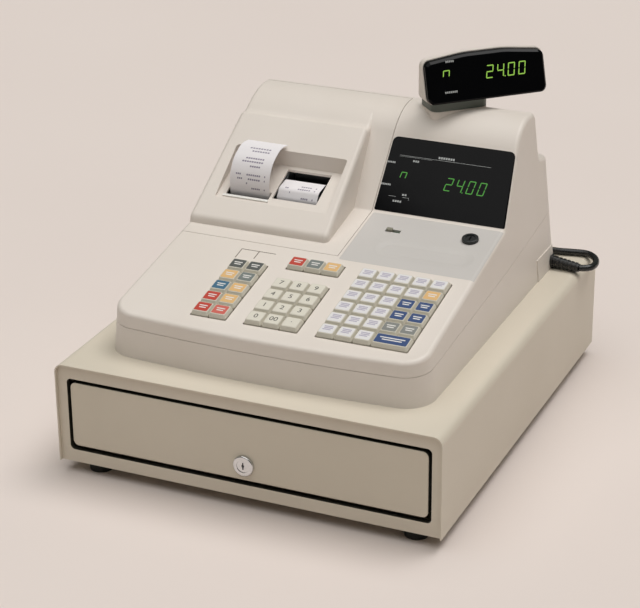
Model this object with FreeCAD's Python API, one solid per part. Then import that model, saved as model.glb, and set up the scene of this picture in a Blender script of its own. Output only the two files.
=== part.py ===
import FreeCAD, Part
import math
import os

os.makedirs("parts", exist_ok=True)
V = FreeCAD.Vector

# Electronic ticket register on a steel cash drawer.
# Origin: middle of the drawer's footprint on the counter. X to the operator's right, Y to the back, Z up.
# All lengths in millimetres.

# Drawer case
case_width = 400.0
case_depth = 464.0
case_height = 105.0
sheet = 1.2
case_edge_radius = 9.0
frame_inset = 3.5
opening_side_margin = 11.0
opening_top_margin = 15.0
opening_bottom_margin = 13.0
opening_radius = 5.0
base_flange = 14.0
foot_height = 13.0
foot_radius = 12.5
foot_taper = 0.8
foot_inset_x = 33.0
foot_inset_y = 24.0
foot_recess_radius = 5.0
foot_recess_depth = 6.0

# Fasteners
screw_radius = 2.0
screw_head_radius = 4.0
screw_head_height = 2.2
screw_length = 9.0
screw_row_share = 0.4
fit_clearance = 0.05
part_gap = 0.5
overrun = 20.0
touching = 1e-5

# Drawer
front_gap = 3.5
front_top_gap = 4.0
front_bottom_gap = 5.0
front_radius = 6.0
front_edge_radius = 1.2
front_return = 12.0
rail_room = 9.0
drawer_rear_room = 42.0
drawer_box_height = 61.0
drawer_sheet = 1.0
drawer_travel = 290.0
rail_height = 35.0
rail_rear_gap = 4.8
rail_sheet = 1.2
rail_flange_gap = 0.5
rail_spacer_height = 22.0
rail_spacer_length = 24.0

# Cash tray
till_clearance = 2.0
till_depth = 300.0
till_height = 56.0
till_wall = 2.5
till_front_gap = 3.5
till_floor_gap = 0.0
bill_bay_count = 4
divider_drop = 8.0
pocket_radius = 3.0
coin_depth = 92.0
coin_cup_count = 5
coin_cup_depth = 45.0
coin_height = 49.5
coin_rim = 3.0
coin_clearance = 0.5
clip_rod_radius = 2.0
clip_rod_drop = 16.0
clip_rod_inset = 8.0
clip_hub_radius = 4.5
clip_hub_length = 24.0
clip_arm_length = 66.0
clip_arm_width = 14.0
clip_pad_width = 34.0
clip_pad_length = 16.0
clip_sheet = 1.5
clip_floor_gap = 1.0

# Lock and latch
lock_drop = 51.5
lock_flange_radius = 10.5
lock_body_radius = 9.0
lock_plug_radius = 6.5
lock_body_length = 6.5
lock_plug_inset = 0.6
keyway_width = 1.4
keyway_height = 7.0
keyway_depth = 3.0
cam_length = 24.0
cam_radius = 6.0
cam_thickness = 2.0
cam_gap = 0.6
cam_slot_margin = 3.0
latch_pivot_height = 14.0
latch_pivot_back = 18.0
latch_arm_height = 20.0
latch_thickness = 6.0
latch_bar = 6.0
latch_nose_gap = 1.6
latch_rear_arm = 14.0
latch_pin_radius = 2.0
latch_slot_half_width = 8.0
latch_slot_bottom = 8.0
latch_slot_height = 18.0
bracket_sheet = 1.5
solenoid_width = 26.0
solenoid_height = 28.0
solenoid_depth = 18.0
solenoid_lift = 18.0
plunger_radius = 4.0
plunger_stroke_gap = 1.0
plunger_engage = 14.0

# Register body: plan outline on the drawer's top, and its even draft
body_half_width = 167.0
body_front = 197.0
body_back = 205.0
front_bow = 5.0
body_corner_radius = 30.0
body_rear_radius = 26.0
body_height = 178.0
draft_angle = 5.56
wall = 2.5
side_edge_radius = 5.0
seam_gap = 0.5

# Register body: side view, distances from the middle and heights above the drawer's top
key_deck_height = 42.7
key_deck_angle = 10.5
deck_end_y = 48.0
display_angle = 52.5
display_valley_radius = 4.0
crown_radius = 52.0
crown_back_y = 160.0
crown_back_drop = 1.0
crown_back_radius = 9.0
upper_back_lean = 3.0
ledge_height = 125.0
ledge_angle = 9.4
ledge_radius = 4.0
seam_front_height = 27.5
seam_middle_height = 31.5
seam_back_height = 64.5
seam_middle_y = 160.0
seam_rear_y = 50.0
seam_rear_height = 45.5
side_step_height = 23.5
side_step_proud = 1.0
side_step_start_y = 134.0

# Printer cover: seam, raised panel and window
cover_seam_x = 15.0
cover_seam_lean = 0.04
cover_front_y = -39.0
cover_front_drop = 10.0
cover_side_angle = 15.87
cover_back_y = 150.0
cover_gap = 0.6
panel_front_y = -23.0
panel_lip = 7.34
panel_lip_lean = 3.0
panel_angle = 35.0
panel_back_y = 90.0
panel_ridge = 0.6
panel_ridge_length = 8.0
panel_ridge_radius = 4.0
panel_valley_radius = 10.0
panel_side_x = -4.0
panel_side_lean = 0.04
panel_edge_radius = 5.0
panel_lip_radius = 9.0
cover_crown_y = 125.15
cover_crown_radius = 85.0
corner_reach_share = 0.7
window_left = -140.0
window_right = -15.0
window_front_y = 1.5
window_floor_end_y = 57.0
window_floor_angle = 23.0
window_radius = 3.0
journal_left = -80.0
journal_right = -31.0
journal_front_y = 12.0
journal_back_y = 53.0
slot_left = -131.0
slot_right = -83.0
slot_front_y = 9.0
slot_back_y = 19.0

# Keys
key_pitch_x = 18.5
key_pitch_s = 19.75
key_rows_start = 35.6
key_gap_x = 0.6
key_gap_s = 0.9
key_top_width = 15.4
key_top_depth = 15.2
key_height = 4.6
key_shoulder = 1.0
key_sunk = 1.5
key_radius = 1.6
key_top_edge = 0.8
key_stem = 6.0
key_stem_length = 14.0
key_travel = 3.5
key_margin = 1.0
left_keys_x = -72.2
number_keys_x = -16.2
right_keys_x = 58.2
left_columns = 2
left_rows = 5
number_columns = 3
number_rows = 4
right_columns = 5
right_rows = 6
top_row = 5
key_deck_drop = 7.5
key_deck_plate = 2.0
key_deck_flange = 5.0

# Control panel and switches
control_left = 18.0
control_front_y = -43.5
control_back_y = 46.0
control_sheet = 1.5
control_radius = 2.0
dish_left = 45.0
dish_right = 147.0
dish_y = -12.0
dish_radius = 15.5
dish_depth = 0.9
dish_slope = 7.0
mode_x = 131.0
mode_y = 23.0
mode_radius = 8.4
mode_barrel_radius = 6.8
mode_barrel_length = 18.0
mode_height = 3.4
mode_rotor_radius = 5.2
mode_rotor_inset = 0.8
mode_turn_angle = 60.0
slide_x = 50.5
slide_y = 18.5
slide_slot_length = 16.0
slide_slot_width = 5.0
slide_knob_length = 6.5
slide_knob_height = 2.4
slide_travel = 7.0
slide_body_depth = 6.0

# Operator display
display_left = 17.0
display_left_lean = 2.4
display_right = 157.0
display_right_lean = 6.7
display_start = 2.0
display_length = 80.0
display_sheet = 1.6
display_radius = 6.0
display_frame = 6.0
module_width = 116.0
module_height = 52.0
module_depth = 9.0
module_gap = 0.3

# Printer mechanism and paper: heights above the drawer's top
mechanism_left = -136.0
mechanism_right = -20.0
mechanism_middle = -80.5
mechanism_front_y = -26.0
mechanism_back_y = 148.0
mechanism_plate = 2.0
mechanism_base = 28.0
mechanism_front_height = 64.0
mechanism_step_y = 4.0
mechanism_step_height = 89.0
mechanism_rear_y = 92.0
mechanism_rear_height = 122.0
mechanism_back_height = 84.0
mechanism_cut_y = 40.0
mechanism_cut_height = 103.0
printer_room = 17.0
rod_radius = 3.0
platen_radius = 7.0
platen_y = 31.0
platen_height = 84.0
drive_wheel_radius = 10.0
drive_wheel = 4.0
head_rod_y = 4.0
head_rod_height = 76.0
head_width = 24.0
head_depth = 15.0
head_height = 17.0
head_travel = 66.0
head_start_x = -114.0
paper_width = 44.5
paper_sheet = 0.4
paper_gap = 0.3
roll_radius = 33.0
roll_core_radius = 6.0
roll_y = 113.0
roll_height = 66.0
receipt_x = -106.0
journal_x = -56.5
spool_y = 78.0
spool_height = 108.0
spool_radius = 12.0
spool_flange_radius = 16.0
spool_flange = 1.5
pillar_radius = 4.0
paper_bend_radius = 6.0
receipt_rise_y = 15.0
receipt_rise_height = 98.0
receipt_stand_y = 13.5
receipt_stand_height = 118.0
receipt_curl_y = 24.0
receipt_curl_height = 134.0
receipt_top_y = 44.0
receipt_top_height = 143.0
receipt_end_y = 60.0
receipt_end_height = 141.0
receipt_bend_radius = 28.0
journal_rise_y = 21.0
journal_rise_height = 98.0
journal_turn_y = 27.0
journal_turn_height = 107.0
journal_over_y = 44.0
journal_over_height = 110.0

# Customer display
swivel_x = 66.0
swivel_y = 146.0
swivel_angle = 44.0
neck_width = 62.0
neck_depth = 36.0
neck_radius = 8.0
neck_bottom = 178.2
neck_top = 188.0
pedestal_top = 177.9
post_radius = 7.5
post_length = 22.0
post_disc_radius = 10.0
post_disc = 2.5
head_along = 26.9
head_front = 28.5
head_back = -2.0
head_length = 134.0
head_bottom = 188.0
head_top = 236.0
head_lean_angle = 18.0
head_arch = 5.0
head_radius = 8.0
head_edge_radius = 4.0
head_rim = 0.9
head_recess = 4.0
pane_depth = 7.0
pane_gap = 0.2
pane_sheet = 2.5
pane_chamfer = 2.2
pane_edge_radius = 0.9
swivel_min_angle = -44.0
swivel_max_angle = 90.0

# Electronics
board_left = 30.0
board_right = 150.0
board_front_y = -20.0
board_back_y = 100.0
board_sheet = 1.6
board_lift = 8.0
board_post_radius = 3.0
board_post_inset = 7.0
key_board_drop = 21.0
switch_body_length = 24.0
switch_body_width = 11.0
switch_body_depth = 6.0
transformer_x = 116.0
transformer_y = 136.0
transformer_width = 46.0
transformer_depth = 40.0
transformer_height = 38.0
transformer_coil = 9.0

# Mains lead
cord_radius = 3.5
cord_gap = 0.3
relief_y = 177.0
relief_height = 7.6
relief_root_radius = 6.0
relief_end_radius = 4.4
relief_length = 32.0
relief_drop = 2.0
relief_swing = -3.5
relief_flange_radius = 7.3
relief_flange = 2.5
relief_ring = 1.8
relief_ring_rise = 0.6
relief_ring_count = 6
coil_x = 30.0
coil_y = 335.0
coil_turn_radius = 38.5
coil_turns = 6
coil_layers = 4
coil_pitch = 7.6
coil_start_angle = -10.0
tail_bend_angle = 12.0
plug_width = 32.0
plug_neck_width = 16.0
plug_thickness = 14.4
plug_length = 34.0
plug_pin_radius = 2.4
plug_pin_length = 19.0
plug_pin_spacing = 19.0

# Sizes that follow from the ones above
deck = foot_height + case_height
half_case = case_width / 2
front_y = -case_depth / 2
back_y = case_depth / 2
inner_x = half_case - sheet
face_y = front_y + frame_inset
inner_top = deck - sheet
base_top = foot_height + 2 * sheet
opening_x = half_case - opening_side_margin
opening_top = deck - opening_top_margin
opening_bottom = foot_height + opening_bottom_margin
front_x = opening_x - front_gap
front_top = opening_top - front_top_gap
front_bottom = opening_bottom + front_bottom_gap
frame_return = lock_body_length - cam_gap
box_x = opening_x - rail_room
box_front = face_y + front_return
box_back = back_y - drawer_rear_room
box_bottom = front_bottom
box_top = box_bottom + drawer_box_height
rail_z = (box_bottom + box_top) / 2
draft = math.tan(math.radians(draft_angle))


def box(x0, x1, y0, y1, z0, z1):
    return Part.makeBox(x1 - x0, y1 - y0, z1 - z0, V(x0, y0, z0))


def rod(radius, start, end):
    """Round bar from one point to another."""
    axis = end - start
    return Part.makeCylinder(radius, axis.Length, start, axis)


def fused(pieces):
    solid = pieces[0]
    for piece in pieces[1:]:
        solid = solid.fuse(piece)
    return solid.removeSplitter()


def cut_all(solid, tools):
    for tool in tools:
        solid = solid.cut(tool)
    return solid


def corner_wire(points, radii):
    """Closed wire through corner points, each corner rounded by its radius."""
    count = len(points)
    if not isinstance(radii, (list, tuple)):
        radii = [radii] * count
    arcs, ends = [], []
    for i, here in enumerate(points):
        if radii[i] <= 0:
            arcs.append(None)
            ends.append((here, here))
            continue
        back = (points[i - 1] - here).normalize()
        ahead = (points[(i + 1) % count] - here).normalize()
        half = back.getAngle(ahead) / 2
        reach = radii[i] / math.tan(half)
        start, end = here + back * reach, here + ahead * reach
        middle = here + (back + ahead).normalize() * (radii[i] / math.sin(half) - radii[i])
        arcs.append(Part.Arc(start, middle, end).toShape())
        ends.append((start, end))
    edges = []
    for i in range(count):
        if arcs[i]:
            edges.append(arcs[i])
        following = ends[(i + 1) % count][0]
        if ends[i][1].distanceToPoint(following) > touching:
            edges.append(Part.makeLine(ends[i][1], following))
    return Part.Wire(edges)


def prism(points, radii, along):
    """Solid from a rounded outline pushed along a direction."""
    return Part.Face(corner_wire(points, radii)).extrude(along)


def rect(u0, u1, v0, v1, place):
    """Corner points of a rectangle, each put in space by the given function."""
    return [place(u0, v0), place(u1, v0), place(u1, v1), place(u0, v1)]


def front_prism(x0, x1, z0, z1, radius, y0, y1):
    """Rounded rectangle seen from the front, between two Y positions."""
    return prism(rect(x0, x1, z0, z1, lambda u, v: V(u, y0, v)), radius, V(0, y1 - y0, 0))


def plan_prism(x0, x1, y0, y1, radius, z0, z1):
    """Rounded rectangle seen from above, between two heights."""
    return prism(rect(x0, x1, y0, y1, lambda u, v: V(u, v, z0)), radius, V(0, 0, z1 - z0))


def side_prism(points, radii, x0, x1):
    """Outline in side view (Y, Z), between two X positions."""
    return prism([V(x0, y, z) for y, z in points], radii, V(x1 - x0, 0, 0))


def mirrored(shape):
    return shape.mirror(V(0, 0, 0), V(1, 0, 0))


def save(name, shapes):
    if not isinstance(shapes, (list, tuple)):
        shapes = [shapes]
    solids = [solid for shape in shapes for solid in shape.Solids]
    shape = solids[0] if len(solids) == 1 else Part.makeCompound(solids)
    shape.exportStep("parts/" + name + ".step")
    print(name, len(solids), round(sum(s.Volume for s in solids)), all(s.isValid() for s in solids))


# Drawer case: cover with its back, base pan, front frame, feet and screws

def case_profile(inset, y0, y1):
    """Solid between two Y positions with the case's rounded top corners, moved in by the sheet."""
    points = rect(-half_case + inset, half_case - inset, foot_height, deck - inset, lambda u, v: V(u, y0, v))
    return prism(points, [0, 0, case_edge_radius - inset, case_edge_radius - inset], V(0, y1 - y0, 0))


foot_places = [(sx * (half_case - foot_inset_x), sy * (back_y - foot_inset_y)) for sx in (-1, 1) for sy in (-1, 1)]
screw_places = [(sx * (half_case - base_flange / 2), sy * screw_row_share * case_depth)
                for sx in (-1, 1) for sy in (-1, 0, 1)]


def bottom_screw(x, y, seat):
    """Screw put in from below, its head under the seat."""
    head = rod(screw_head_radius, V(x, y, seat - screw_head_height), V(x, y, seat))
    return head.fuse(rod(screw_radius, V(x, y, seat - screw_head_height), V(x, y, seat + screw_length)))


def screw_holes():
    return [rod(screw_radius, V(x, y, 0), V(x, y, base_top + overrun)) for x, y in foot_places + screw_places]


def drawer_case():
    cover = case_profile(0, front_y, back_y).cut(case_profile(sheet, front_y, back_y - sheet))
    ring = box(-inner_x, inner_x, face_y + sheet, back_y - sheet, foot_height, foot_height + sheet)
    hole = box(-half_case + base_flange, half_case - base_flange, face_y, back_y - base_flange,
               foot_height, foot_height + sheet)
    cover = fused([cover, ring.cut(hole)])
    foot_holes = [rod(foot_radius + part_gap, V(x, y, 0), V(x, y, foot_height + sheet)) for x, y in foot_places]
    save("case_cover", cut_all(cover, screw_holes() + foot_holes))

    base = box(-inner_x, inner_x, face_y + sheet, back_y - sheet, foot_height + sheet, base_top)
    save("case_base", cut_all(base, screw_holes()))

    plate = case_profile(sheet, face_y, face_y + sheet)
    collar = front_prism(-opening_x - sheet, opening_x + sheet, opening_bottom - sheet, opening_top + sheet,
                         opening_radius + sheet, face_y, face_y + frame_return + sheet)
    hole = front_prism(-opening_x, opening_x, opening_bottom, opening_top, opening_radius,
                       face_y - overrun, face_y + overrun)
    save("case_front_frame", fused([plate, collar]).cut(hole))

    feet, screws = [], []
    for x, y in foot_places:
        foot = Part.makeCone(foot_radius - foot_taper, foot_radius, foot_height + sheet, V(x, y, 0))
        recess = rod(foot_recess_radius, V(x, y, 0), V(x, y, foot_recess_depth))
        feet.append(foot.cut(recess).cut(rod(screw_radius, V(x, y, 0), V(x, y, foot_height + overrun))))
        screws.append(bottom_screw(x, y, foot_recess_depth))
    for x, y in screw_places:
        screws.append(bottom_screw(x, y, foot_height))
    save("case_feet", feet)
    save("case_screws", screws)


# Drawer runners: one telescopic set on each side

rail_y0 = box_front + sheet + rail_flange_gap
rail_y1 = box_back - rail_rear_gap
rail_length = rail_y1 - rail_y0
outer_web = opening_x - rail_flange_gap + sheet
rail_half = rail_height / 2


def channel(web_x, toward, reach, half, y0, y1):
    """C section: an upright web with two flanges turned the given way."""
    x_in = web_x + toward * rail_sheet
    x_tip = web_x + toward * reach
    pieces = [box(min(web_x, x_in), max(web_x, x_in), y0, y1, rail_z - half, rail_z + half)]
    for side in (-1, 1):
        edge, inner = rail_z + side * half, rail_z + side * (half - rail_sheet)
        pieces.append(box(min(web_x, x_tip), max(web_x, x_tip), y0, y1, min(edge, inner), max(edge, inner)))
    return fused(pieces)


def runners():
    outer_x = outer_web
    inner_web = box_x
    middle_x = outer_x - rail_sheet - rail_flange_gap
    middle_half = rail_half - rail_sheet - rail_flange_gap
    inner_half = middle_half - rail_sheet - rail_flange_gap
    outer = channel(outer_x, -1, outer_x - box_x - rail_flange_gap, rail_half, rail_y0, rail_y1)
    middle = channel(middle_x, -1, middle_x - box_x - rail_flange_gap, middle_half, rail_y0, rail_y1)
    reach = middle_x - rail_sheet - rail_flange_gap - inner_web
    inner = channel(inner_web, 1, reach, inner_half, rail_y0, rail_y1)
    spacers = []
    for y in (rail_y0 + rail_length / 4, rail_y1 - rail_length / 4):
        spacers.append(box(outer_x, inner_x, y - rail_spacer_length / 2, y + rail_spacer_length / 2,
                           rail_z - rail_spacer_height / 2, rail_z + rail_spacer_height / 2))
    outer_set = [outer] + spacers
    save("rails_outer", outer_set + [mirrored(piece) for piece in outer_set])
    save("rails_middle", [middle, mirrored(middle)])
    save("rails_inner", [inner, mirrored(inner)])


# Drawer: folded front, box, cash tray, coin tray and bill clips

lock_z = front_top - lock_drop
cam_y0 = face_y + sheet + lock_body_length + cam_gap
cam_y1 = cam_y0 + cam_thickness
pivot_y = box_back + latch_pivot_back
pivot_z = base_top + latch_pivot_height
till_x = box_x - drawer_sheet - till_clearance
till_y0 = box_front + drawer_sheet + till_front_gap
till_y1 = till_y0 + till_depth
till_z0 = box_bottom + drawer_sheet + till_floor_gap
till_z1 = till_z0 + till_height
bay_y0 = till_y0 + 2 * till_wall + coin_depth
bay_y1 = till_y1 - till_wall
bay_width = (2 * till_x - (bill_bay_count + 1) * till_wall) / bill_bay_count
rod_y = till_y1 - clip_rod_inset
rod_z = till_z1 - clip_rod_drop
coin_x = till_x - till_wall - coin_clearance
coin_y0 = till_y0 + till_wall + coin_clearance
coin_y1 = coin_y0 + coin_depth - 2 * coin_clearance
coin_top = till_z0 + till_wall + coin_height
cup_width = (2 * coin_x - (coin_cup_count + 1) * coin_rim) / coin_cup_count


def bay_left(i):
    return -till_x + till_wall + i * (bay_width + till_wall)


def cup_left(i):
    return -coin_x + coin_rim + i * (cup_width + coin_rim)


def drawer_front():
    block = front_prism(-front_x, front_x, front_bottom, front_top, front_radius, face_y, box_front)
    edges = [e for e in block.Edges if abs(e.BoundBox.YMax - face_y) < touching]
    block = block.makeFillet(front_edge_radius, edges)
    hollow = front_prism(-front_x + sheet, front_x - sheet, front_bottom + sheet, front_top - sheet,
                         front_radius - sheet, face_y + sheet, box_front + overrun)
    lock_hole = rod(lock_body_radius, V(0, face_y - overrun, lock_z), V(0, face_y + overrun, lock_z))
    reach = cam_length + cam_slot_margin
    slot = box(-cam_radius - cam_slot_margin, reach, cam_y0 - cam_gap, cam_y1 + cam_gap,
               front_bottom - sheet, front_bottom + 2 * sheet)
    save("drawer_front", cut_all(block, [hollow, lock_hole, slot]))


def drawer_box():
    outer = plan_prism(-box_x, box_x, box_front, box_back, 0, box_bottom, box_top)
    inner = plan_prism(-box_x + drawer_sheet, box_x - drawer_sheet, box_front + drawer_sheet,
                       box_back - drawer_sheet, 0, box_bottom + drawer_sheet, box_top + overrun)
    slot_z = pivot_z + latch_slot_bottom
    slot = box(-latch_slot_half_width, latch_slot_half_width, box_back - overrun, box_back + overrun,
               slot_z, slot_z + latch_slot_height)
    save("drawer_box", cut_all(outer, [inner, slot]))


def cash_tray():
    body = plan_prism(-till_x, till_x, till_y0, till_y1, pocket_radius, till_z0, till_z1)
    floor = till_z0 + till_wall
    tools = [plan_prism(-till_x + till_wall, till_x - till_wall, till_y0 + till_wall,
                        till_y0 + till_wall + coin_depth, 0, floor, till_z1 + overrun)]
    for i in range(bill_bay_count):
        x = bay_left(i)
        tools.append(plan_prism(x, x + bay_width, bay_y0, bay_y1, pocket_radius, floor, till_z1 + overrun))
    tools.append(box(-till_x + till_wall, till_x - till_wall, bay_y0, bay_y1,
                     till_z1 - divider_drop, till_z1 + overrun))
    tools.append(rod(clip_rod_radius, V(-till_x, rod_y, rod_z), V(till_x, rod_y, rod_z)))
    save("till_tray", cut_all(body, tools))
    save("clip_rod", rod(clip_rod_radius, V(-till_x, rod_y, rod_z), V(till_x, rod_y, rod_z)))


def coin_tray():
    body = plan_prism(-coin_x, coin_x, coin_y0, coin_y1, pocket_radius, till_z0 + till_wall, coin_top)
    radius = (coin_y1 - coin_y0) / 2 - coin_rim
    middle = (coin_y0 + coin_y1) / 2
    arc_z = coin_top - coin_cup_depth + radius
    cups = []
    for i in range(coin_cup_count):
        x = cup_left(i)
        cup = rod(radius, V(x, middle, arc_z), V(x + cup_width, middle, arc_z))
        above = box(x, x + cup_width, middle - radius, middle + radius, arc_z, coin_top + overrun)
        cups.append(cup.fuse(above))
    save("coin_tray", cut_all(body, cups))


def bill_clips():
    floor = till_z0 + till_wall
    drop = rod_z - floor - clip_floor_gap
    slope = math.asin((drop - clip_sheet) / clip_arm_length)
    tip_y = rod_y - clip_arm_length * math.cos(slope)
    tip_z = rod_z - clip_arm_length * math.sin(slope)
    for i in range(bill_bay_count):
        x = bay_left(i) + bay_width / 2
        hub = rod(clip_hub_radius, V(x - clip_hub_length / 2, rod_y, rod_z), V(x + clip_hub_length / 2, rod_y, rod_z))
        arm = [(rod_y, rod_z + clip_sheet / 2), (tip_y, tip_z + clip_sheet / 2),
               (tip_y, tip_z - clip_sheet / 2), (rod_y, rod_z - clip_sheet / 2)]
        arm = side_prism(arm, 0, x - clip_arm_width / 2, x + clip_arm_width / 2)
        pad = box(x - clip_pad_width / 2, x + clip_pad_width / 2, tip_y - clip_pad_length, tip_y + clip_sheet,
                  tip_z - clip_sheet / 2, tip_z + clip_sheet / 2)
        clip = fused([hub, arm, pad])
        bore = rod(clip_rod_radius + fit_clearance, V(-till_x, rod_y, rod_z), V(till_x, rod_y, rod_z))
        save("bill_clip_%d" % (i + 1), clip.cut(bore))


# Lock in the drawer's front, and the release latch behind the drawer

def drawer_lock():
    flange = rod(lock_flange_radius, V(0, front_y, lock_z), V(0, face_y, lock_z))
    flange = flange.makeFillet(front_edge_radius, [e for e in flange.Edges if e.BoundBox.YMax < front_y + touching])
    barrel = rod(lock_body_radius, V(0, face_y, lock_z), V(0, cam_y0 - cam_gap, lock_z))
    bore = rod(lock_plug_radius + fit_clearance, V(0, front_y - overrun, lock_z), V(0, cam_y0, lock_z))
    save("drawer_lock", fused([flange, barrel]).cut(bore))

    plug = rod(lock_plug_radius, V(0, front_y + lock_plug_inset, lock_z), V(0, cam_y0, lock_z))
    keyway = box(-keyway_width / 2, keyway_width / 2, front_y, front_y + lock_plug_inset + keyway_depth,
                 lock_z - keyway_height / 2, lock_z + keyway_height / 2)
    hub = rod(lock_plug_radius + cam_gap, V(0, cam_y0, lock_z), V(0, cam_y1, lock_z))
    bar = box(0, cam_length - cam_radius, cam_y0, cam_y1, lock_z - cam_radius, lock_z + cam_radius)
    tip = rod(cam_radius, V(cam_length - cam_radius, cam_y0, lock_z), V(cam_length - cam_radius, cam_y1, lock_z))
    save("lock_plug", [plug.cut(keyway), fused([hub, bar, tip])])


def release_latch():
    nose_y = box_back + latch_nose_gap
    top_z = pivot_z + latch_arm_height
    half = latch_thickness / 2
    post = [(pivot_y - latch_bar, pivot_z), (pivot_y + latch_bar, pivot_z),
            (pivot_y, top_z), (nose_y, top_z), (nose_y, top_z - latch_bar), (pivot_y - latch_bar, top_z - latch_bar)]
    post = side_prism(post, 0, -half, half)
    arm = box(-half, half, pivot_y, pivot_y + latch_rear_arm, pivot_z - latch_bar / 2, pivot_z + latch_bar / 2)
    eye = rod(latch_bar, V(-half, pivot_y, pivot_z), V(half, pivot_y, pivot_z))
    bore = rod(latch_pin_radius + fit_clearance, V(-half - overrun, pivot_y, pivot_z), V(half + overrun, pivot_y, pivot_z))
    save("latch_hook", fused([post, arm, eye]).cut(bore))

    pieces = []
    side_x = half + part_gap
    for side in (-1, 1):
        x0, x1 = sorted((side * side_x, side * (side_x + bracket_sheet)))
        cheek = box(x0, x1, pivot_y - latch_bar, pivot_y + latch_bar, base_top, pivot_z + latch_bar)
        x2, x3 = sorted((side * side_x, side * (side_x + latch_slot_half_width)))
        foot = box(x2, x3, pivot_y - latch_bar, pivot_y + latch_bar, base_top, base_top + bracket_sheet)
        pieces.append(fused([cheek, foot]).cut(rod(latch_pin_radius, V(-overrun, pivot_y, pivot_z),
                                                   V(overrun, pivot_y, pivot_z))))
    tip = side_x + bracket_sheet
    pieces.append(rod(latch_pin_radius, V(-tip, pivot_y, pivot_z), V(tip, pivot_y, pivot_z)))

    plunger_y = pivot_y + latch_rear_arm
    bottom = pivot_z + latch_bar / 2 + solenoid_lift
    frame = box(-solenoid_width / 2, solenoid_width / 2, plunger_y - solenoid_depth / 2, back_y - sheet,
                bottom, bottom + solenoid_height)
    bore = rod(plunger_radius + fit_clearance, V(0, plunger_y, bottom - overrun), V(0, plunger_y, bottom + solenoid_height + overrun))
    pieces.append(frame.cut(bore))
    save("latch_solenoid", pieces)
    low = pivot_z + latch_bar / 2 + plunger_stroke_gap
    save("solenoid_plunger", rod(plunger_radius, V(0, plunger_y, low), V(0, plunger_y, bottom + solenoid_height / 2)))


# Register body: a drafted plan outline cut by the side view

def plan_wire(inset, z):
    """Outline seen from above: bowed front, rounded corners, straight sides and back."""
    half, rear = body_half_width - inset, body_back - inset
    chord = body_half_width - body_corner_radius
    bow = (chord ** 2 + front_bow ** 2) / (2 * front_bow)
    bow_y = -body_front + bow
    corner_y = bow_y - math.sqrt((bow - body_corner_radius) ** 2 - chord ** 2)
    lean = math.atan2(chord, bow_y - corner_y)
    r, q = body_corner_radius - inset, body_rear_radius - inset
    c, s = math.cos(lean), math.sin(lean)
    turn = math.sqrt(2) / 2
    tangent = V(chord + r * s, corner_y - r * c, z)
    half_turn = (lean - math.pi / 2) / 2
    middle = V(chord + r * math.cos(half_turn), corner_y + r * math.sin(half_turn), z)
    side = V(half, corner_y, z)
    rear_side = V(half, rear - q, z)
    rear_middle = V(half - q + q * turn, rear - q + q * turn, z)
    rear_end = V(half - q, rear, z)

    def flip(p):
        return V(-p.x, p.y, p.z)

    edges = [Part.Arc(flip(tangent), V(0, -body_front + inset, z), tangent).toShape(),
             Part.Arc(tangent, middle, side).toShape(),
             Part.makeLine(side, rear_side),
             Part.Arc(rear_side, rear_middle, rear_end).toShape(),
             Part.makeLine(rear_end, flip(rear_end)),
             Part.Arc(flip(rear_end), flip(rear_middle), flip(rear_side)).toShape(),
             Part.makeLine(flip(rear_side), flip(side)),
             Part.Arc(flip(side), flip(middle), flip(tangent)).toShape()]
    return Part.Wire(edges)


def envelope(inset):
    """Drafted block with the plan outline, a little taller than the body."""
    tall = body_height + wall
    return Part.makeLoft([plan_wire(inset, deck), plan_wire(inset + tall * draft, deck + tall)], True, True)


def inset_points(points, gap):
    """Corners of a counterclockwise outline moved inward by a gap."""
    moved = []
    count = len(points)
    for i in range(count):
        (ax, ay), (bx, by), (cx, cy) = points[i - 1], points[i], points[(i + 1) % count]
        ux, uy = bx - ax, by - ay
        vx, vy = cx - bx, cy - by
        u, v = math.hypot(ux, uy), math.hypot(vx, vy)
        ux, uy, vx, vy = ux / u, uy / u, vx / v, vy / v
        cross = ux * vy - uy * vx
        mx, my = bx - gap * uy, by + gap * ux
        nx, ny = bx - gap * vy, by + gap * vx
        t = ((nx - mx) * vy - (ny - my) * vx) / cross
        moved.append((mx + t * ux, my + t * uy))
    return moved


def turned_in(points, radii, gap):
    """Corner radii after the outline moved inward: outer corners shrink, inner corners grow."""
    changed = []
    count = len(points)
    for i, radius in enumerate(radii):
        (ax, ay), (bx, by), (cx, cy) = points[i - 1], points[i], points[(i + 1) % count]
        cross = (bx - ax) * (cy - by) - (by - ay) * (cx - bx)
        changed.append(0 if radius == 0 else radius - gap if cross > 0 else radius + gap)
    return changed


def key_plane(y):
    """Height of the key deck at a distance from the middle."""
    return deck + key_deck_height + (y + body_front) * math.tan(math.radians(key_deck_angle))


def on_slope(y, z, angle, target):
    """Distance along Y at which a slope from a point reaches a height."""
    return y + (target - z) / math.tan(math.radians(angle))


crown_z = deck + body_height
deck_end_z = key_plane(deck_end_y)
back_top_z = crown_z - crown_back_drop
far_front = -body_front - overrun
far_back = body_back + overrun
far_side = body_half_width + overrun


def held(points, radii):
    """Corner radii limited to what the sides next to them can hold."""
    limited = []
    count = len(points)
    for i, radius in enumerate(radii):
        (ax, ay), (bx, by), (cx, cy) = points[i - 1], points[i], points[(i + 1) % count]
        shorter = min(math.hypot(bx - ax, by - ay), math.hypot(cx - bx, cy - by))
        turn = abs(math.atan2((bx - ax) * (cy - by) - (by - ay) * (cx - bx),
                              (bx - ax) * (cx - bx) + (by - ay) * (cy - by)))
        limited.append(min(radius, corner_reach_share * shorter / math.tan(turn / 2)))
    return limited


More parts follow.
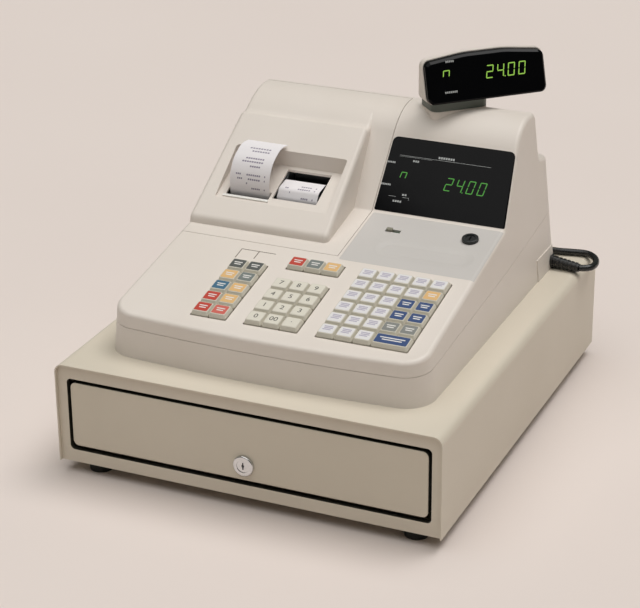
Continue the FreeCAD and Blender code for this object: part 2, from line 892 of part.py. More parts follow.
def main_profile():
    """Side view of the register at the operator's right."""
    crown_y = on_slope(deck_end_y, deck_end_z, display_angle, crown_z)
    ledge_y = crown_back_y + upper_back_lean
    ledge_z = deck + ledge_height
    end_z = ledge_z - (far_back - ledge_y) * math.tan(math.radians(ledge_angle))
    points = [(far_front, deck), (far_back, deck), (far_back, end_z), (ledge_y, ledge_z),
              (crown_back_y, back_top_z), (crown_y, crown_z), (deck_end_y, deck_end_z),
              (far_front, key_plane(far_front))]
    radii = [0, 0, 0, ledge_radius, crown_back_radius, crown_radius, display_valley_radius, 0]
    return points, held(points, radii)


def raised_profile():
    """Side view of the raised panel over the printer."""
    lip_z = key_plane(panel_front_y)
    top_z = lip_z + panel_lip
    front_top_y = panel_front_y + panel_lip_lean
    slope = math.tan(math.radians(panel_angle))
    end_z = top_z + (panel_back_y - front_top_y) * slope
    low = key_plane(cover_front_y) - cover_front_drop
    points = [(panel_front_y, low), (crown_back_y, low), (crown_back_y, back_top_z), (cover_crown_y, crown_z),
              (panel_back_y + panel_ridge_length, end_z - panel_ridge), (panel_back_y, end_z), (front_top_y, top_z)]
    radii = [0, 0, crown_back_radius, cover_crown_radius, panel_valley_radius, panel_ridge_radius, panel_lip_radius]
    return points, held(points, radii)


def side_edges(shape, profile, block):
    """Edges where the top faces of a side view meet the side faces of a block."""
    chosen = []
    for edge in shape.Edges:
        middle = edge.valueAt((edge.FirstParameter + edge.LastParameter) / 2)
        if middle.z < deck + wall or (edge.BoundBox.YLength < touching and edge.BoundBox.ZLength < touching):
            continue
        spots = [v.Point for v in edge.Vertexes] + [middle]
        if all(profile.distToShape(Part.Vertex(p))[0] < touching and block.distToShape(Part.Vertex(p))[0] < touching
               for p in spots):
            chosen.append(edge)
    return chosen


def form(profile, inset, radius, limit=None):
    """The envelope under a side view, moved in by an inset, its long side edges rounded."""
    points, radii = profile
    radii = turned_in(points, radii, inset)
    points = inset_points(points, inset)
    view = side_prism(points, radii, -far_side, far_side)
    block = envelope(inset)
    if limit:
        block = block.common(limit)
    shape = block.common(view).removeSplitter()
    edges = side_edges(shape, view.Shells[0], block.Shells[0])
    return shape.makeFillet(radius, edges)


def left_of_seam(shift):
    """Everything left of the printer cover's seam, which leans to the right as it rises."""
    base_z = key_plane(cover_front_y)
    low, high = deck, crown_z + overrun

    def seam_x(z):
        return cover_seam_x + cover_seam_lean * (z - base_z) + shift

    points = [V(-far_side, far_front, low), V(seam_x(low), far_front, low),
              V(seam_x(high), far_front, high), V(-far_side, far_front, high)]
    return prism(points, 0, V(0, far_back - far_front, 0))


def cover_zone(gap):
    """Space of the printer cover: behind its front seam, above its side seam, left of its long seam."""
    low = key_plane(cover_front_y) - cover_front_drop
    rise = (cover_back_y - cover_front_y) * math.tan(math.radians(cover_side_angle))
    top = crown_z + overrun
    points = [(cover_front_y, low), (cover_back_y, low + rise), (cover_back_y, top), (cover_front_y, top)]
    points = inset_points(points, gap)
    points[2] = (points[2][0], top)
    points[3] = (points[3][0], top)
    return side_prism(points, 0, -far_side, far_side).common(left_of_seam(-gap))


def below_seam(shift):
    """Space under the seam between the lower and the upper case."""
    points = [(far_front, deck - overrun), (far_back, deck - overrun), (far_back, deck + seam_back_height + shift),
              (seam_rear_y, deck + seam_rear_height + shift), (-seam_middle_y, deck + seam_middle_height + shift),
              (far_front, deck + seam_front_height + shift)]
    return side_prism(points, 0, -far_side, far_side)


class Deck:
    """Sloped plane of the keys: places given across, along the slope and above it."""

    def __init__(self, angle, y, z):
        self.angle = math.radians(angle)
        self.along = V(0, math.cos(self.angle), math.sin(self.angle))
        self.up = V(0, -math.sin(self.angle), math.cos(self.angle))
        self.origin = V(0, y, z)

    def at(self, x, s, h=0):
        return self.origin + V(x, 0, 0) + self.along * s + self.up * h

    def s_of(self, y):
        return (y - self.origin.y) / math.cos(self.angle)

    def plate(self, x0, x1, s0, s1, h0, h1, radii=0):
        points = rect(x0, x1, s0, s1, lambda u, v: self.at(u, v, h0))
        return prism(points, radii, self.up * (h1 - h0))

    def disc(self, radius, x, s, h0, h1):
        return rod(radius, self.at(x, s, h0), self.at(x, s, h1))


keys_deck = Deck(key_deck_angle, -body_front, deck + key_deck_height)
glass_deck = Deck(display_angle, deck_end_y, deck_end_z)


def left_of_panel_side(shift):
    """Everything left of the raised panel's right-hand wall, which leans a little to the left."""
    base_z = key_plane(panel_front_y)

    def side_x(z):
        return panel_side_x - panel_side_lean * (z - base_z) + shift

    low, high = deck, crown_z + overrun
    points = [V(-far_side, far_front, low), V(side_x(low), far_front, low),
              V(side_x(high), far_front, high), V(-far_side, far_front, high)]
    return prism(points, 0, V(0, far_back - far_front, 0))


def panel_height(y):
    """Height of the raised panel over the printer."""
    start = panel_front_y + panel_lip_lean
    return key_plane(panel_front_y) + panel_lip + (y - start) * math.tan(math.radians(panel_angle))


def window_floor(y):
    return panel_height(window_front_y) - wall / 2 + (y - window_front_y) * math.tan(math.radians(window_floor_angle))


def window_space(grow):
    """Hollow of the printer window: sloping floor, upright back wall, open at the top."""
    y0, y1 = window_front_y - grow, window_floor_end_y + grow
    high = crown_z + overrun
    above = [(y0, window_floor(y0) - grow), (y1, window_floor(y1) - grow), (y1, high), (y0, high)]
    plan = plan_prism(window_left - grow, window_right + grow, y0, y1, window_radius + grow, deck, high)
    return plan.common(side_prism(above, 0, -far_side, far_side))


main_outer = form(main_profile(), 0, side_edge_radius)
main_inner = form(main_profile(), wall, side_edge_radius - wall)
raised_outer = form(raised_profile(), 0, panel_edge_radius, left_of_panel_side(0))
raised_inner = form(raised_profile(), wall, panel_edge_radius - wall, left_of_panel_side(-wall))


def printer_cover():
    outer = main_outer.fuse(raised_outer).removeSplitter()
    shell = outer.cut(main_inner).cut(raised_inner)
    shell = shell.common(cover_zone(cover_gap))
    shell = shell.fuse(window_space(wall).common(outer)).cut(window_space(0))
    high = crown_z
    tools = [box(journal_left, journal_right, journal_front_y, journal_back_y, deck, high),
             box(slot_left, slot_right, slot_front_y, slot_back_y, deck, high)]
    save("printer_cover", cut_all(shell, tools))


# Keys, key frame, control panel, switches and operator display

def key_block(x0, first_row, columns, rows):
    """Sides of the opening around a block of keys: left, right, front and back along the deck."""
    half_x = (key_pitch_x - key_gap_x) / 2 + key_margin
    half_s = (key_pitch_s - key_gap_s) / 2 + key_margin
    s0 = key_rows_start + first_row * key_pitch_s
    return (x0 - half_x, x0 + (columns - 1) * key_pitch_x + half_x,
            s0 - half_s, s0 + (rows - 1) * key_pitch_s + half_s)


key_openings = [key_block(left_keys_x, 0, left_columns, left_rows),
                key_block(number_keys_x, 0, number_columns, number_rows),
                key_block(number_keys_x, top_row, number_columns, 1),
                key_block(right_keys_x, 0, right_columns, right_rows)]


def key_places():
    """Name of each key group with its keys: across, row and width in keys."""
    groups = {}
    for i in range(left_columns):
        groups["left_keys_%d" % (i + 1)] = [(left_keys_x + i * key_pitch_x, row, 1) for row in range(left_rows)]
    for i in range(number_columns):
        x = number_keys_x + i * key_pitch_x
        groups["number_keys_%d" % (i + 1)] = [(x, row, 1) for row in range(number_rows)]
    groups["top_keys"] = [(number_keys_x + i * key_pitch_x, top_row, 1) for i in range(number_columns)]
    for i in range(right_columns):
        x = right_keys_x + i * key_pitch_x
        rows = [row for row in range(right_rows) if row > 0 or i < right_columns - 2]
        groups["right_keys_%d" % (i + 1)] = [(x, row, 1) for row in rows]
    total_x = right_keys_x + (right_columns - 1) * key_pitch_x - key_pitch_x / 2
    groups["total_key"] = [(total_x, 0, 2)]
    return groups


def key_solid(width_in_keys):
    """One key at the deck's origin: stem, skirt and a tapered top with rounded edges."""
    extra = (width_in_keys - 1) * key_pitch_x

    def ring(width, depth, h):
        points = rect(-width / 2, width / 2, -depth / 2, depth / 2, lambda u, v: keys_deck.at(u, v, h))
        return corner_wire(points, key_radius)

    base_x, base_s = key_pitch_x - key_gap_x + extra, key_pitch_s - key_gap_s
    top_x, top_s = key_top_width + extra, key_top_depth
    skirt = keys_deck.plate(-base_x / 2, base_x / 2, -base_s / 2, base_s / 2, -key_sunk, key_shoulder, key_radius)
    top = Part.makeLoft([ring(base_x, base_s, key_shoulder), ring(top_x, top_s, key_height)], True, True)
    edges = [e for e in top.Edges
             if all(abs((v.Point - keys_deck.origin).dot(keys_deck.up) - key_height) < touching for v in e.Vertexes)]
    top = top.makeFillet(key_top_edge, edges)
    stem = keys_deck.plate(-key_stem / 2, key_stem / 2, -key_stem / 2, key_stem / 2,
                           -key_sunk - key_stem_length, -key_sunk)
    return fused([skirt, top, stem])


def keys():
    shapes = {1: key_solid(1), 2: key_solid(2)}
    for name, places in key_places().items():
        solids = []
        for x, row, wide in places:
            move = keys_deck.at(x, key_rows_start + row * key_pitch_s) - keys_deck.origin
            solids.append(shapes[wide].translated(move))
        save(name, solids)


def key_frame():
    low, high = -key_deck_drop - key_deck_plate, -wall
    x0 = min(o[0] for o in key_openings) - key_deck_flange
    x1 = max(o[1] for o in key_openings) + key_deck_flange
    s0 = min(o[2] for o in key_openings) - key_deck_flange
    s1 = max(o[3] for o in key_openings) + key_deck_flange
    pieces = [keys_deck.plate(x0, x1, s0, s1, low, low + key_deck_plate)]
    tools = []
    for a, b, c, d in key_openings:
        pieces.append(keys_deck.plate(a - key_deck_plate, b + key_deck_plate, c - key_deck_plate, d + key_deck_plate,
                                      low, high))
        tools.append(keys_deck.plate(a, b, c, d, low + key_deck_plate, high + overrun))
    half = key_stem / 2 + cover_gap / 2
    for places in key_places().values():
        for x, row, wide in places:
            s = key_rows_start + row * key_pitch_s
            tools.append(keys_deck.plate(x - half, x + half, s - half, s + half, low - wall, high))
    frame = fused(pieces)
    save("key_frame", frame.cut(tools))


control_s0, control_s1 = keys_deck.s_of(control_front_y), keys_deck.s_of(control_back_y)
mode_s, slide_s, dish_s = keys_deck.s_of(mode_y), keys_deck.s_of(slide_y), keys_deck.s_of(dish_y)


def control_space(gap, low):
    return keys_deck.plate(control_left - gap, body_half_width, control_s0 - gap, control_s1 + gap, low, wall,
                           control_radius)


def slide_slot(low, high):
    half_x, half_s = slide_slot_length / 2, slide_slot_width / 2
    return keys_deck.plate(slide_x - half_x, slide_x + half_x, slide_s - half_s, slide_s + half_s, low, high)


def switch_holes():
    barrel = keys_deck.disc(mode_barrel_radius + fit_clearance, mode_x, mode_s, -overrun, overrun)
    return [barrel, slide_slot(-overrun, overrun)]


def glass_space(gap, low, high):
    """Space of the display window, moved in or out by a gap."""
    s0, s1 = display_start - gap, display_start + display_length + gap
    left0, left1 = display_left - gap, display_left + display_left_lean - gap
    right0, right1 = display_right + gap, display_right - display_right_lean + gap
    points = [glass_deck.at(left0, s0, low), glass_deck.at(right0, s0, low),
              glass_deck.at(right1, s1, low), glass_deck.at(left1, s1, low)]
    small, large = display_start, display_radius
    return prism(points, [small, small, large, large], glass_deck.up * (high - low))


def control_panel():
    panel = control_space(0, -control_sheet).common(main_outer)
    def dish_ring(inset, h):
        points = rect(dish_left + inset, dish_right - inset, dish_s - dish_radius + inset,
                      dish_s + dish_radius - inset, lambda u, v: keys_deck.at(u, v, h))
        return corner_wire(points, dish_radius - inset - touching)

    dish = Part.makeLoft([dish_ring(dish_slope, -dish_depth), dish_ring(0, 0)], True, True)
    dish = dish.fuse(keys_deck.plate(dish_left, dish_right, dish_s - dish_radius, dish_s + dish_radius, 0, wall,
                                     dish_radius - touching))
    save("control_panel", cut_all(panel, [dish] + switch_holes()))

    bezel = keys_deck.disc(mode_radius, mode_x, mode_s, 0, mode_height)
    rim = [e for e in bezel.Edges if e.Curve.TypeId == "Part::GeomCircle"
           and (e.Curve.Center - keys_deck.origin).dot(keys_deck.up) > mode_height / 2]
    bezel = bezel.makeFillet(key_top_edge, rim)
    barrel = keys_deck.disc(mode_barrel_radius, mode_x, mode_s, -mode_barrel_length, 0)
    bore = keys_deck.disc(mode_rotor_radius + fit_clearance, mode_x, mode_s, -overrun - mode_barrel_length, overrun)
    save("mode_switch_body", fused([bezel, barrel]).cut(bore))

    rotor = keys_deck.disc(mode_rotor_radius, mode_x, mode_s, -mode_barrel_length, mode_height - mode_rotor_inset)
    keyway = keys_deck.plate(mode_x - keyway_width / 2, mode_x + keyway_width / 2,
                             mode_s - keyway_height / 2, mode_s + keyway_height / 2,
                             mode_height - mode_rotor_inset - keyway_depth, overrun)
    save("mode_switch_rotor", rotor.cut(keyway))

    half_x, half_s = slide_knob_length / 2, slide_slot_width / 2 - part_gap
    rest_x = slide_x - slide_travel / 2
    knob = keys_deck.plate(rest_x - half_x, rest_x + half_x, slide_s - half_s, slide_s + half_s,
                           -wall + part_gap, slide_knob_height, control_radius / 2)
    save("receipt_switch", knob)

    window = glass_space(0, -display_sheet, wall).common(main_outer)
    save("display_window", window)
    s_mid = display_start + display_length / 2
    x_mid = (display_left + display_right) / 2
    high = -wall - module_gap
    module = glass_deck.plate(x_mid - module_width / 2, x_mid + module_width / 2,
                              s_mid - module_height / 2, s_mid + module_height / 2,
                              high - module_depth, high, control_radius)
    save("operator_display", module)


def register_shell():
    shell = main_outer.cut(main_inner)
    step = form(main_profile(), -side_step_proud, side_edge_radius)
    step = step.common(box(0, far_side, side_step_start_y, far_back, deck, deck + side_step_height))
    lower = shell.fuse(step.cut(main_outer)).common(below_seam(0)).removeSplitter()
    gland = rod(relief_root_radius, V(0, relief_y, deck + relief_height), V(far_side, relief_y, deck + relief_height))
    save("lower_case", lower.cut(gland))

    upper = shell.cut(below_seam(seam_gap)).cut(cover_zone(0))
    tools = [keys_deck.plate(a, b, c, d, -overrun, overrun, key_radius) for a, b, c, d in key_openings]
    tools.append(box(mechanism_left - printer_room, cover_seam_x - wall, cover_front_y + wall, cover_back_y - wall,
                     deck + seam_back_height, crown_z))
    tools.append(control_space(part_gap / 4, -control_sheet))
    tools += switch_holes()
    tools.append(glass_space(part_gap / 4, -display_sheet, overrun))
    tools.append(glass_space(-display_frame, -overrun, overrun))
    pedestal = neck_block(pedestal_top - post_length, pedestal_top).cut(main_inner)
    pedestal = pedestal.common(box(0, far_side, far_front, crown_back_y, deck, deck + pedestal_top))
    tools.append(rod(post_radius + fit_clearance, swivel, swivel + V(0, 0, head_bottom)))
    save("upper_case", cut_all(upper.fuse(pedestal).removeSplitter(), tools))


# Printer mechanism: plates, rods, print head, rollers, rolls and paper

def ribbon(path, radius, thick, x0, x1):
    """Strip of paper along a side-view path, rounded at its bends."""
    count = len(path)
    other, near, far = [], [], []
    for i, (y, z) in enumerate(path):
        before = path[max(i - 1, 0)]
        after = path[min(i + 1, count - 1)]
        u = V(y - before[0], z - before[1], 0) if i else V(after[0] - y, after[1] - z, 0)
        v = V(after[0] - y, after[1] - z, 0) if i < count - 1 else u
        u, v = u.normalize(), v.normalize()
        normal = V(-u.y - v.y, u.x + v.x, 0)
        step = normal * (2 * thick / normal.dot(normal))
        other.append((y + step.x, z + step.y))
        turn = u.x * v.y - u.y * v.x
        inside = 0 < i < count - 1
        near.append(radius + (thick if turn > 0 else 0) if inside else 0)
        far.append(radius + (0 if turn > 0 else thick) if inside else 0)
    return side_prism(path + other[::-1], near + far[::-1], x0, x1)


base_z = deck + mechanism_base
platen_z = deck + platen_height
roll_z = deck + roll_height
spool_z = deck + spool_height
receipt_x0, receipt_x1 = receipt_x - paper_width / 2, receipt_x + paper_width / 2
journal_x0, journal_x1 = journal_x - paper_width / 2, journal_x + paper_width / 2
spindle_radius = roll_core_radius - fit_clearance
paper_start_y = platen_y - platen_radius - paper_gap


def across(radius, y, z, x0, x1):
    return rod(radius, V(x0, y, z), V(x1, y, z))


def printer_mechanism():
    side = [(mechanism_front_y, base_z), (mechanism_back_y, base_z), (mechanism_back_y, deck + mechanism_back_height),
            (mechanism_rear_y, deck + mechanism_rear_height), (spool_y - spool_radius, deck + mechanism_rear_height),
            (mechanism_cut_y, deck + mechanism_cut_height), (mechanism_step_y, deck + mechanism_step_height),
            (mechanism_front_y, deck + mechanism_front_height)]
    plates = [box(mechanism_left, mechanism_right, mechanism_front_y, mechanism_back_y,
                  base_z, base_z + mechanism_plate)]
    x_middle = mechanism_middle - mechanism_plate / 2
    for x in (mechanism_left, x_middle, mechanism_right - mechanism_plate):
        plates.append(side_prism(side, 0, x, x + mechanism_plate))
    x0, x1 = mechanism_left, mechanism_right
    head_rod = across(rod_radius, head_rod_y, deck + head_rod_height, x0, x1)
    spindle = across(spindle_radius, roll_y, roll_z, x0, x1)
    far0, far1 = x0 - overrun, x1 + overrun
    holes = [head_rod, spindle, across(rod_radius + fit_clearance, platen_y, platen_z, far0, far1),
             across(rod_radius + fit_clearance, spool_y, spool_z, x_middle - overrun, far1)]
    half_x, half_z = (head_width + head_travel) / 2, head_height / 2 + part_gap
    passage = box(x_middle - mechanism_plate, x_middle + 2 * mechanism_plate, mechanism_front_y,
                  head_rod_y + head_depth / 2 + part_gap, deck + head_rod_height - half_z, deck + head_rod_height + overrun)
    frame = cut_all(fused(plates), holes + [passage])
    pillars = []
    for x in (x0 + 2 * pillar_radius, x1 - 2 * pillar_radius):
        for y in (mechanism_front_y + 2 * pillar_radius, mechanism_back_y - 2 * pillar_radius):
            pillars.append(rod(pillar_radius, V(x, y, deck + wall), V(x, y, base_z)))
    save("printer_frame", [frame, head_rod, spindle] + pillars)

    z = deck + head_rod_height
    head = box(head_start_x - head_width / 2, head_start_x + head_width / 2, head_rod_y - head_depth / 2,
               head_rod_y + head_depth / 2, z - head_height / 2, z + head_height / 2)
    save("print_head", head.cut(across(rod_radius + fit_clearance, head_rod_y, z, x0, x1)))

    shaft = across(rod_radius, platen_y, platen_z, x0 - mechanism_plate, x1 + mechanism_plate + drive_wheel)
    pieces = [shaft, across(platen_radius, platen_y, platen_z, receipt_x0, receipt_x1),
              across(platen_radius, platen_y, platen_z, journal_x0, journal_x1),
              across(drive_wheel_radius, platen_y, platen_z, x1 + part_gap, x1 + part_gap + drive_wheel)]
    save("feed_roller", fused(pieces))

    for name, a, b in (("receipt_roll", receipt_x0, receipt_x1), ("journal_roll", journal_x0, journal_x1)):
        roll = across(roll_radius, roll_y, roll_z, a, b).cut(across(roll_core_radius, roll_y, roll_z, a, b))
        save(name, roll)
    spool = [across(rod_radius, spool_y, spool_z, x_middle - mechanism_plate, x1 + mechanism_plate),
             across(spool_radius, spool_y, spool_z, journal_x0, journal_x1),
             across(spool_flange_radius, spool_y, spool_z, journal_x1, journal_x1 + spool_flange)]
    save("takeup_spool", fused(spool))


def papers():
    path = [(paper_start_y, platen_z - platen_radius / 2), (receipt_rise_y, deck + receipt_rise_height),
            (receipt_stand_y, deck + receipt_stand_height), (receipt_curl_y, deck + receipt_curl_height),
            (receipt_top_y, deck + receipt_top_height), (receipt_end_y, deck + receipt_end_height)]
    save("receipt_paper", ribbon(path, receipt_bend_radius, paper_sheet, receipt_x0, receipt_x1))

    y, z = journal_over_y, deck + journal_over_height
    reach = math.hypot(spool_y - y, spool_z - z)
    clear = spool_radius + paper_gap + paper_sheet
    slope = math.atan2(spool_z - z, spool_y - y) - math.asin(clear / reach)
    run = math.sqrt(reach ** 2 - clear ** 2)
    end = (y + run * math.cos(slope), z + run * math.sin(slope))
    path = [(paper_start_y, platen_z - platen_radius / 2), (journal_rise_y, deck + journal_rise_height),
            (journal_turn_y, deck + journal_turn_height), (y, z), end]
    save("journal_paper", ribbon(path, paper_bend_radius, paper_sheet, journal_x0, journal_x1))


# Customer display: head on a neck that swivels about an upright axis

swing = math.radians(swivel_angle)
head_d = V(math.cos(swing), math.sin(swing), 0)
head_n = V(math.sin(swing), -math.cos(swing), 0)
swivel = V(swivel_x, swivel_y, deck)


def head_at(d, n, z):
    return swivel + head_d * d + head_n * n + V(0, 0, z)


def neck_block(z0, z1):
    points = rect(-neck_width / 2, neck_width / 2, -neck_depth / 2, neck_depth / 2, lambda u, v: head_at(u, v, z0))
    return prism(points, neck_radius, V(0, 0, z1 - z0))


def head_outline(inset, n0, n1):
    """Arched outline of the display head, pushed level from one depth to another."""
    half, low, high = head_length / 2, head_bottom, head_top
    shoulder = half / 3
    points = [(head_along - half, low), (head_along + half, low), (head_along + half, high - head_arch),
              (head_along + shoulder, high), (head_along - shoulder, high), (head_along - half, high - head_arch)]
    points = inset_points(points, inset)
    corner = head_radius - inset
    radii = [corner, corner, corner, head_length, head_length, corner]
    return prism([head_at(d, n0, z) for d, z in points], radii, head_n * (n1 - n0))


def head_slab(n_back, n_front):
    """Space between two leaning planes, given by their depths at the head's bottom edge."""
    rise = head_top - head_bottom + 2 * overrun
    lean = rise * math.tan(math.radians(head_lean_angle))
    low = head_bottom - overrun
    shift = overrun * math.tan(math.radians(head_lean_angle))
    start = head_along - head_length
    points = [head_at(start, n_back + shift, low), head_at(start, n_front + shift, low),
              head_at(start, n_front + shift - lean, low + rise), head_at(start, n_back + shift - lean, low + rise)]
    return prism(points, 0, head_d * (2 * head_length))


def customer_display():
    block = neck_block(neck_bottom, neck_top)
    post = rod(post_radius, swivel + V(0, 0, neck_bottom - post_length), swivel + V(0, 0, neck_bottom))
    disc = rod(post_disc_radius, swivel + V(0, 0, neck_bottom - post_length),
               swivel + V(0, 0, neck_bottom - post_length + post_disc))
    save("customer_display_neck", fused([block, post, disc]))

    rear = head_front - pane_depth
    body = head_outline(0, head_back, head_front + overrun).common(head_slab(-head_length, rear))
    back = [e for e in body.Edges if all(abs((v.Point - swivel).dot(head_n) - head_back) < touching for v in e.Vertexes)]
    body = body.makeFillet(head_edge_radius, back)
    hollow = head_outline(head_rim, head_back, head_front + overrun)
    hollow = hollow.common(head_slab(rear - head_recess, head_front + overrun))
    save("customer_display_housing", body.cut(hollow))

    pane = head_outline(head_rim + pane_gap, head_back, head_front + overrun)
    pane = pane.common(head_slab(rear - head_recess, head_front))
    front = head_n * math.cos(math.radians(head_lean_angle)) + V(0, 0, math.sin(math.radians(head_lean_angle)))
    level = (head_at(0, head_front, head_bottom) - swivel).dot(front)

    def on_front(edge):
        return all(abs((v.Point - swivel).dot(front) - level) < touching for v in edge.Vertexes)

    pane = pane.makeChamfer(pane_chamfer, [e for e in pane.Edges if on_front(e)])
    pane = pane.makeFillet(pane_edge_radius, [e for e in pane.Edges if on_front(e)])
    inside = head_outline(head_rim + pane_gap + pane_sheet + pane_chamfer, head_back, head_front + overrun)
    inside = inside.common(head_slab(rear - head_recess - wall, head_front - pane_sheet))
    save("customer_display_window", pane.cut(inside))


# Electronics inside the case

def electronics():
    floor = deck + wall
    z = floor + board_lift
    board = box(board_left, board_right, board_front_y, board_back_y, z, z + board_sheet)
    pieces = [board]
    for x in (board_left + board_post_inset, board_right - board_post_inset):
        for y in (board_front_y + board_post_inset, board_back_y - board_post_inset):
            pieces.append(rod(board_post_radius, V(x, y, floor), V(x, y, z)))

    x0 = key_openings[0][0]
    x1 = key_openings[3][1]
    s0, s1 = key_openings[0][2], key_openings[3][3]
    low = -key_board_drop
    pieces.append(keys_deck.plate(x0, x1, s0, s1, low - board_sheet, low))
    for x in (x0, x1):
        for s in (s0, s1):
            pieces.append(keys_deck.plate(x - board_post_radius, x + board_post_radius, s - board_post_radius,
                                          s + board_post_radius, low, -key_deck_drop - key_deck_plate))
    half_x, half_s = switch_body_length / 2, switch_body_width / 2
    pieces.append(keys_deck.plate(slide_x - half_x, slide_x + half_x, slide_s - half_s, slide_s + half_s,
                                  -wall - switch_body_depth, -wall))
    half_x, half_y = transformer_width / 2, transformer_depth / 2
    core = box(transformer_x - half_x, transformer_x + half_x, transformer_y - half_y + transformer_coil,
               transformer_y + half_y - transformer_coil, floor, floor + transformer_height)
    coil = box(transformer_x - half_x + transformer_coil, transformer_x + half_x - transformer_coil,
               transformer_y - half_y, transformer_y + half_y, floor + transformer_coil,
               floor + transformer_height - transformer_coil)
    pieces.append(core.fuse(coil))
    save("circuit_boards", pieces)


# Mains lead: strain relief, free stretch, coil and plug

def bend(start, tip, end):
    """Arc that leaves a start towards a tip and arrives at an end as far from the tip."""
    chord = (start + end) * (1 / 2)
    half = (end - start).Length / 2
    to_tip = tip - chord
    sagitta = half * math.tan(math.atan2(to_tip.Length, half) / 2)
    return Part.Arc(start, chord + to_tip.normalize() * sagitta, end).toShape()


def cord_path(points, arc_share):
    """Straight runs joined by tangent arcs, each as large as its two runs allow."""
    edges, last, radii = [], points[0], []
    for i in range(1, len(points) - 1):
        here = points[i]
        back, ahead = points[i - 1] - here, points[i + 1] - here
        reach = arc_share * min(back.Length, ahead.Length)
        half = (math.pi - back.getAngle(ahead)) / 2
        radii.append(round(reach / math.tan(half), 1))
        start, end = here + back.normalize() * reach, here + ahead.normalize() * reach
        edges += [Part.makeLine(last, start), bend(start, here, end)]
        last = end
    edges.append(Part.makeLine(last, points[-1]))
    print("cord radii", radii)
    return Part.Wire(edges)


def tube(wire, start, along):
    ring = Part.Wire(Part.Circle(start, along, cord_radius).toShape())
    solid = wire.makePipeShell([ring], True, False)
    section = math.pi * cord_radius ** 2
    print("tube volume", round(solid.Volume), "section times length", round(section * wire.Length),
          "length", round(wire.Length))
    return solid


cord_arc_share = 0.45
relief_z = deck + relief_height
relief_x = body_half_width + side_step_proud - draft * relief_height
relief_end = V(relief_x + relief_length, relief_y + relief_swing, relief_z - relief_drop)
relief_along = (relief_end - V(relief_x, relief_y, relief_z)).normalize()

# Hand-chosen points of the free stretch: over the drawer's top, round the corner, down behind it
cord_route = [V(209, 176.3, 123.6), V(211.8, 188.5, 122.8), V(209.8, 201, 122.4), V(204, 211.8, 122.2),
              V(194.3, 218.6, 122.1), V(181, 217, 122), V(165, 213.2, 122), V(140, 211.5, 122.1),
              V(114, 214, 122.4), V(93, 224, 124.5), V(79.5, 239, 123.2), V(71.5, 253.5, 113),
              V(67.5, 262.5, 94), V(66, 267.5, 73), V(66.2, 275, 54), V(67.8, 288, 38.5), V(70.2, 304, 29.4)]


def coil_point(turn):
    """Place on the coil after a number of turns, starting at the outside of the top layer."""
    layer_turns = coil_turns / coil_layers
    depth = layer_turns * coil_pitch / 2
    phase = (turn % (2 * layer_turns)) / layer_turns
    radius = coil_turn_radius + depth - 2 * depth * (phase if phase < 1 else 2 - phase)
    low = cord_radius + cord_gap
    level = coil_layers - 1
    for k in range(1, coil_layers):
        level -= min(max((turn - k * layer_turns) * 2 + 1 / 2, 0), 1)
    angle = math.radians(coil_start_angle) + 2 * math.pi * turn
    return V(coil_x + radius * math.cos(angle), coil_y + radius * math.sin(angle), low + level * coil_pitch)


def coil_tangent(turn, small=1e-4):
    here = min(max(turn, small), coil_turns - small)
    step = coil_point(here + small) - coil_point(here - small)
    if turn <= small or turn >= coil_turns - small:
        step.z = 0
    return step.normalize()


def biarc(p1, t1, p2, t2):
    """Two arcs that join two places with given directions."""
    v = p2 - p1
    t = t1 + t2
    k = 2 * (1 - t1.dot(t2))
    d = (-v.dot(t) + math.sqrt(v.dot(t) ** 2 + k * v.dot(v))) / k
    q1, q2 = p1 + t1 * d, p2 - t2 * d
    middle = (q1 + q2) * (1 / 2)
    return [bend(p1, q1, middle), bend(middle, q2, p2)]


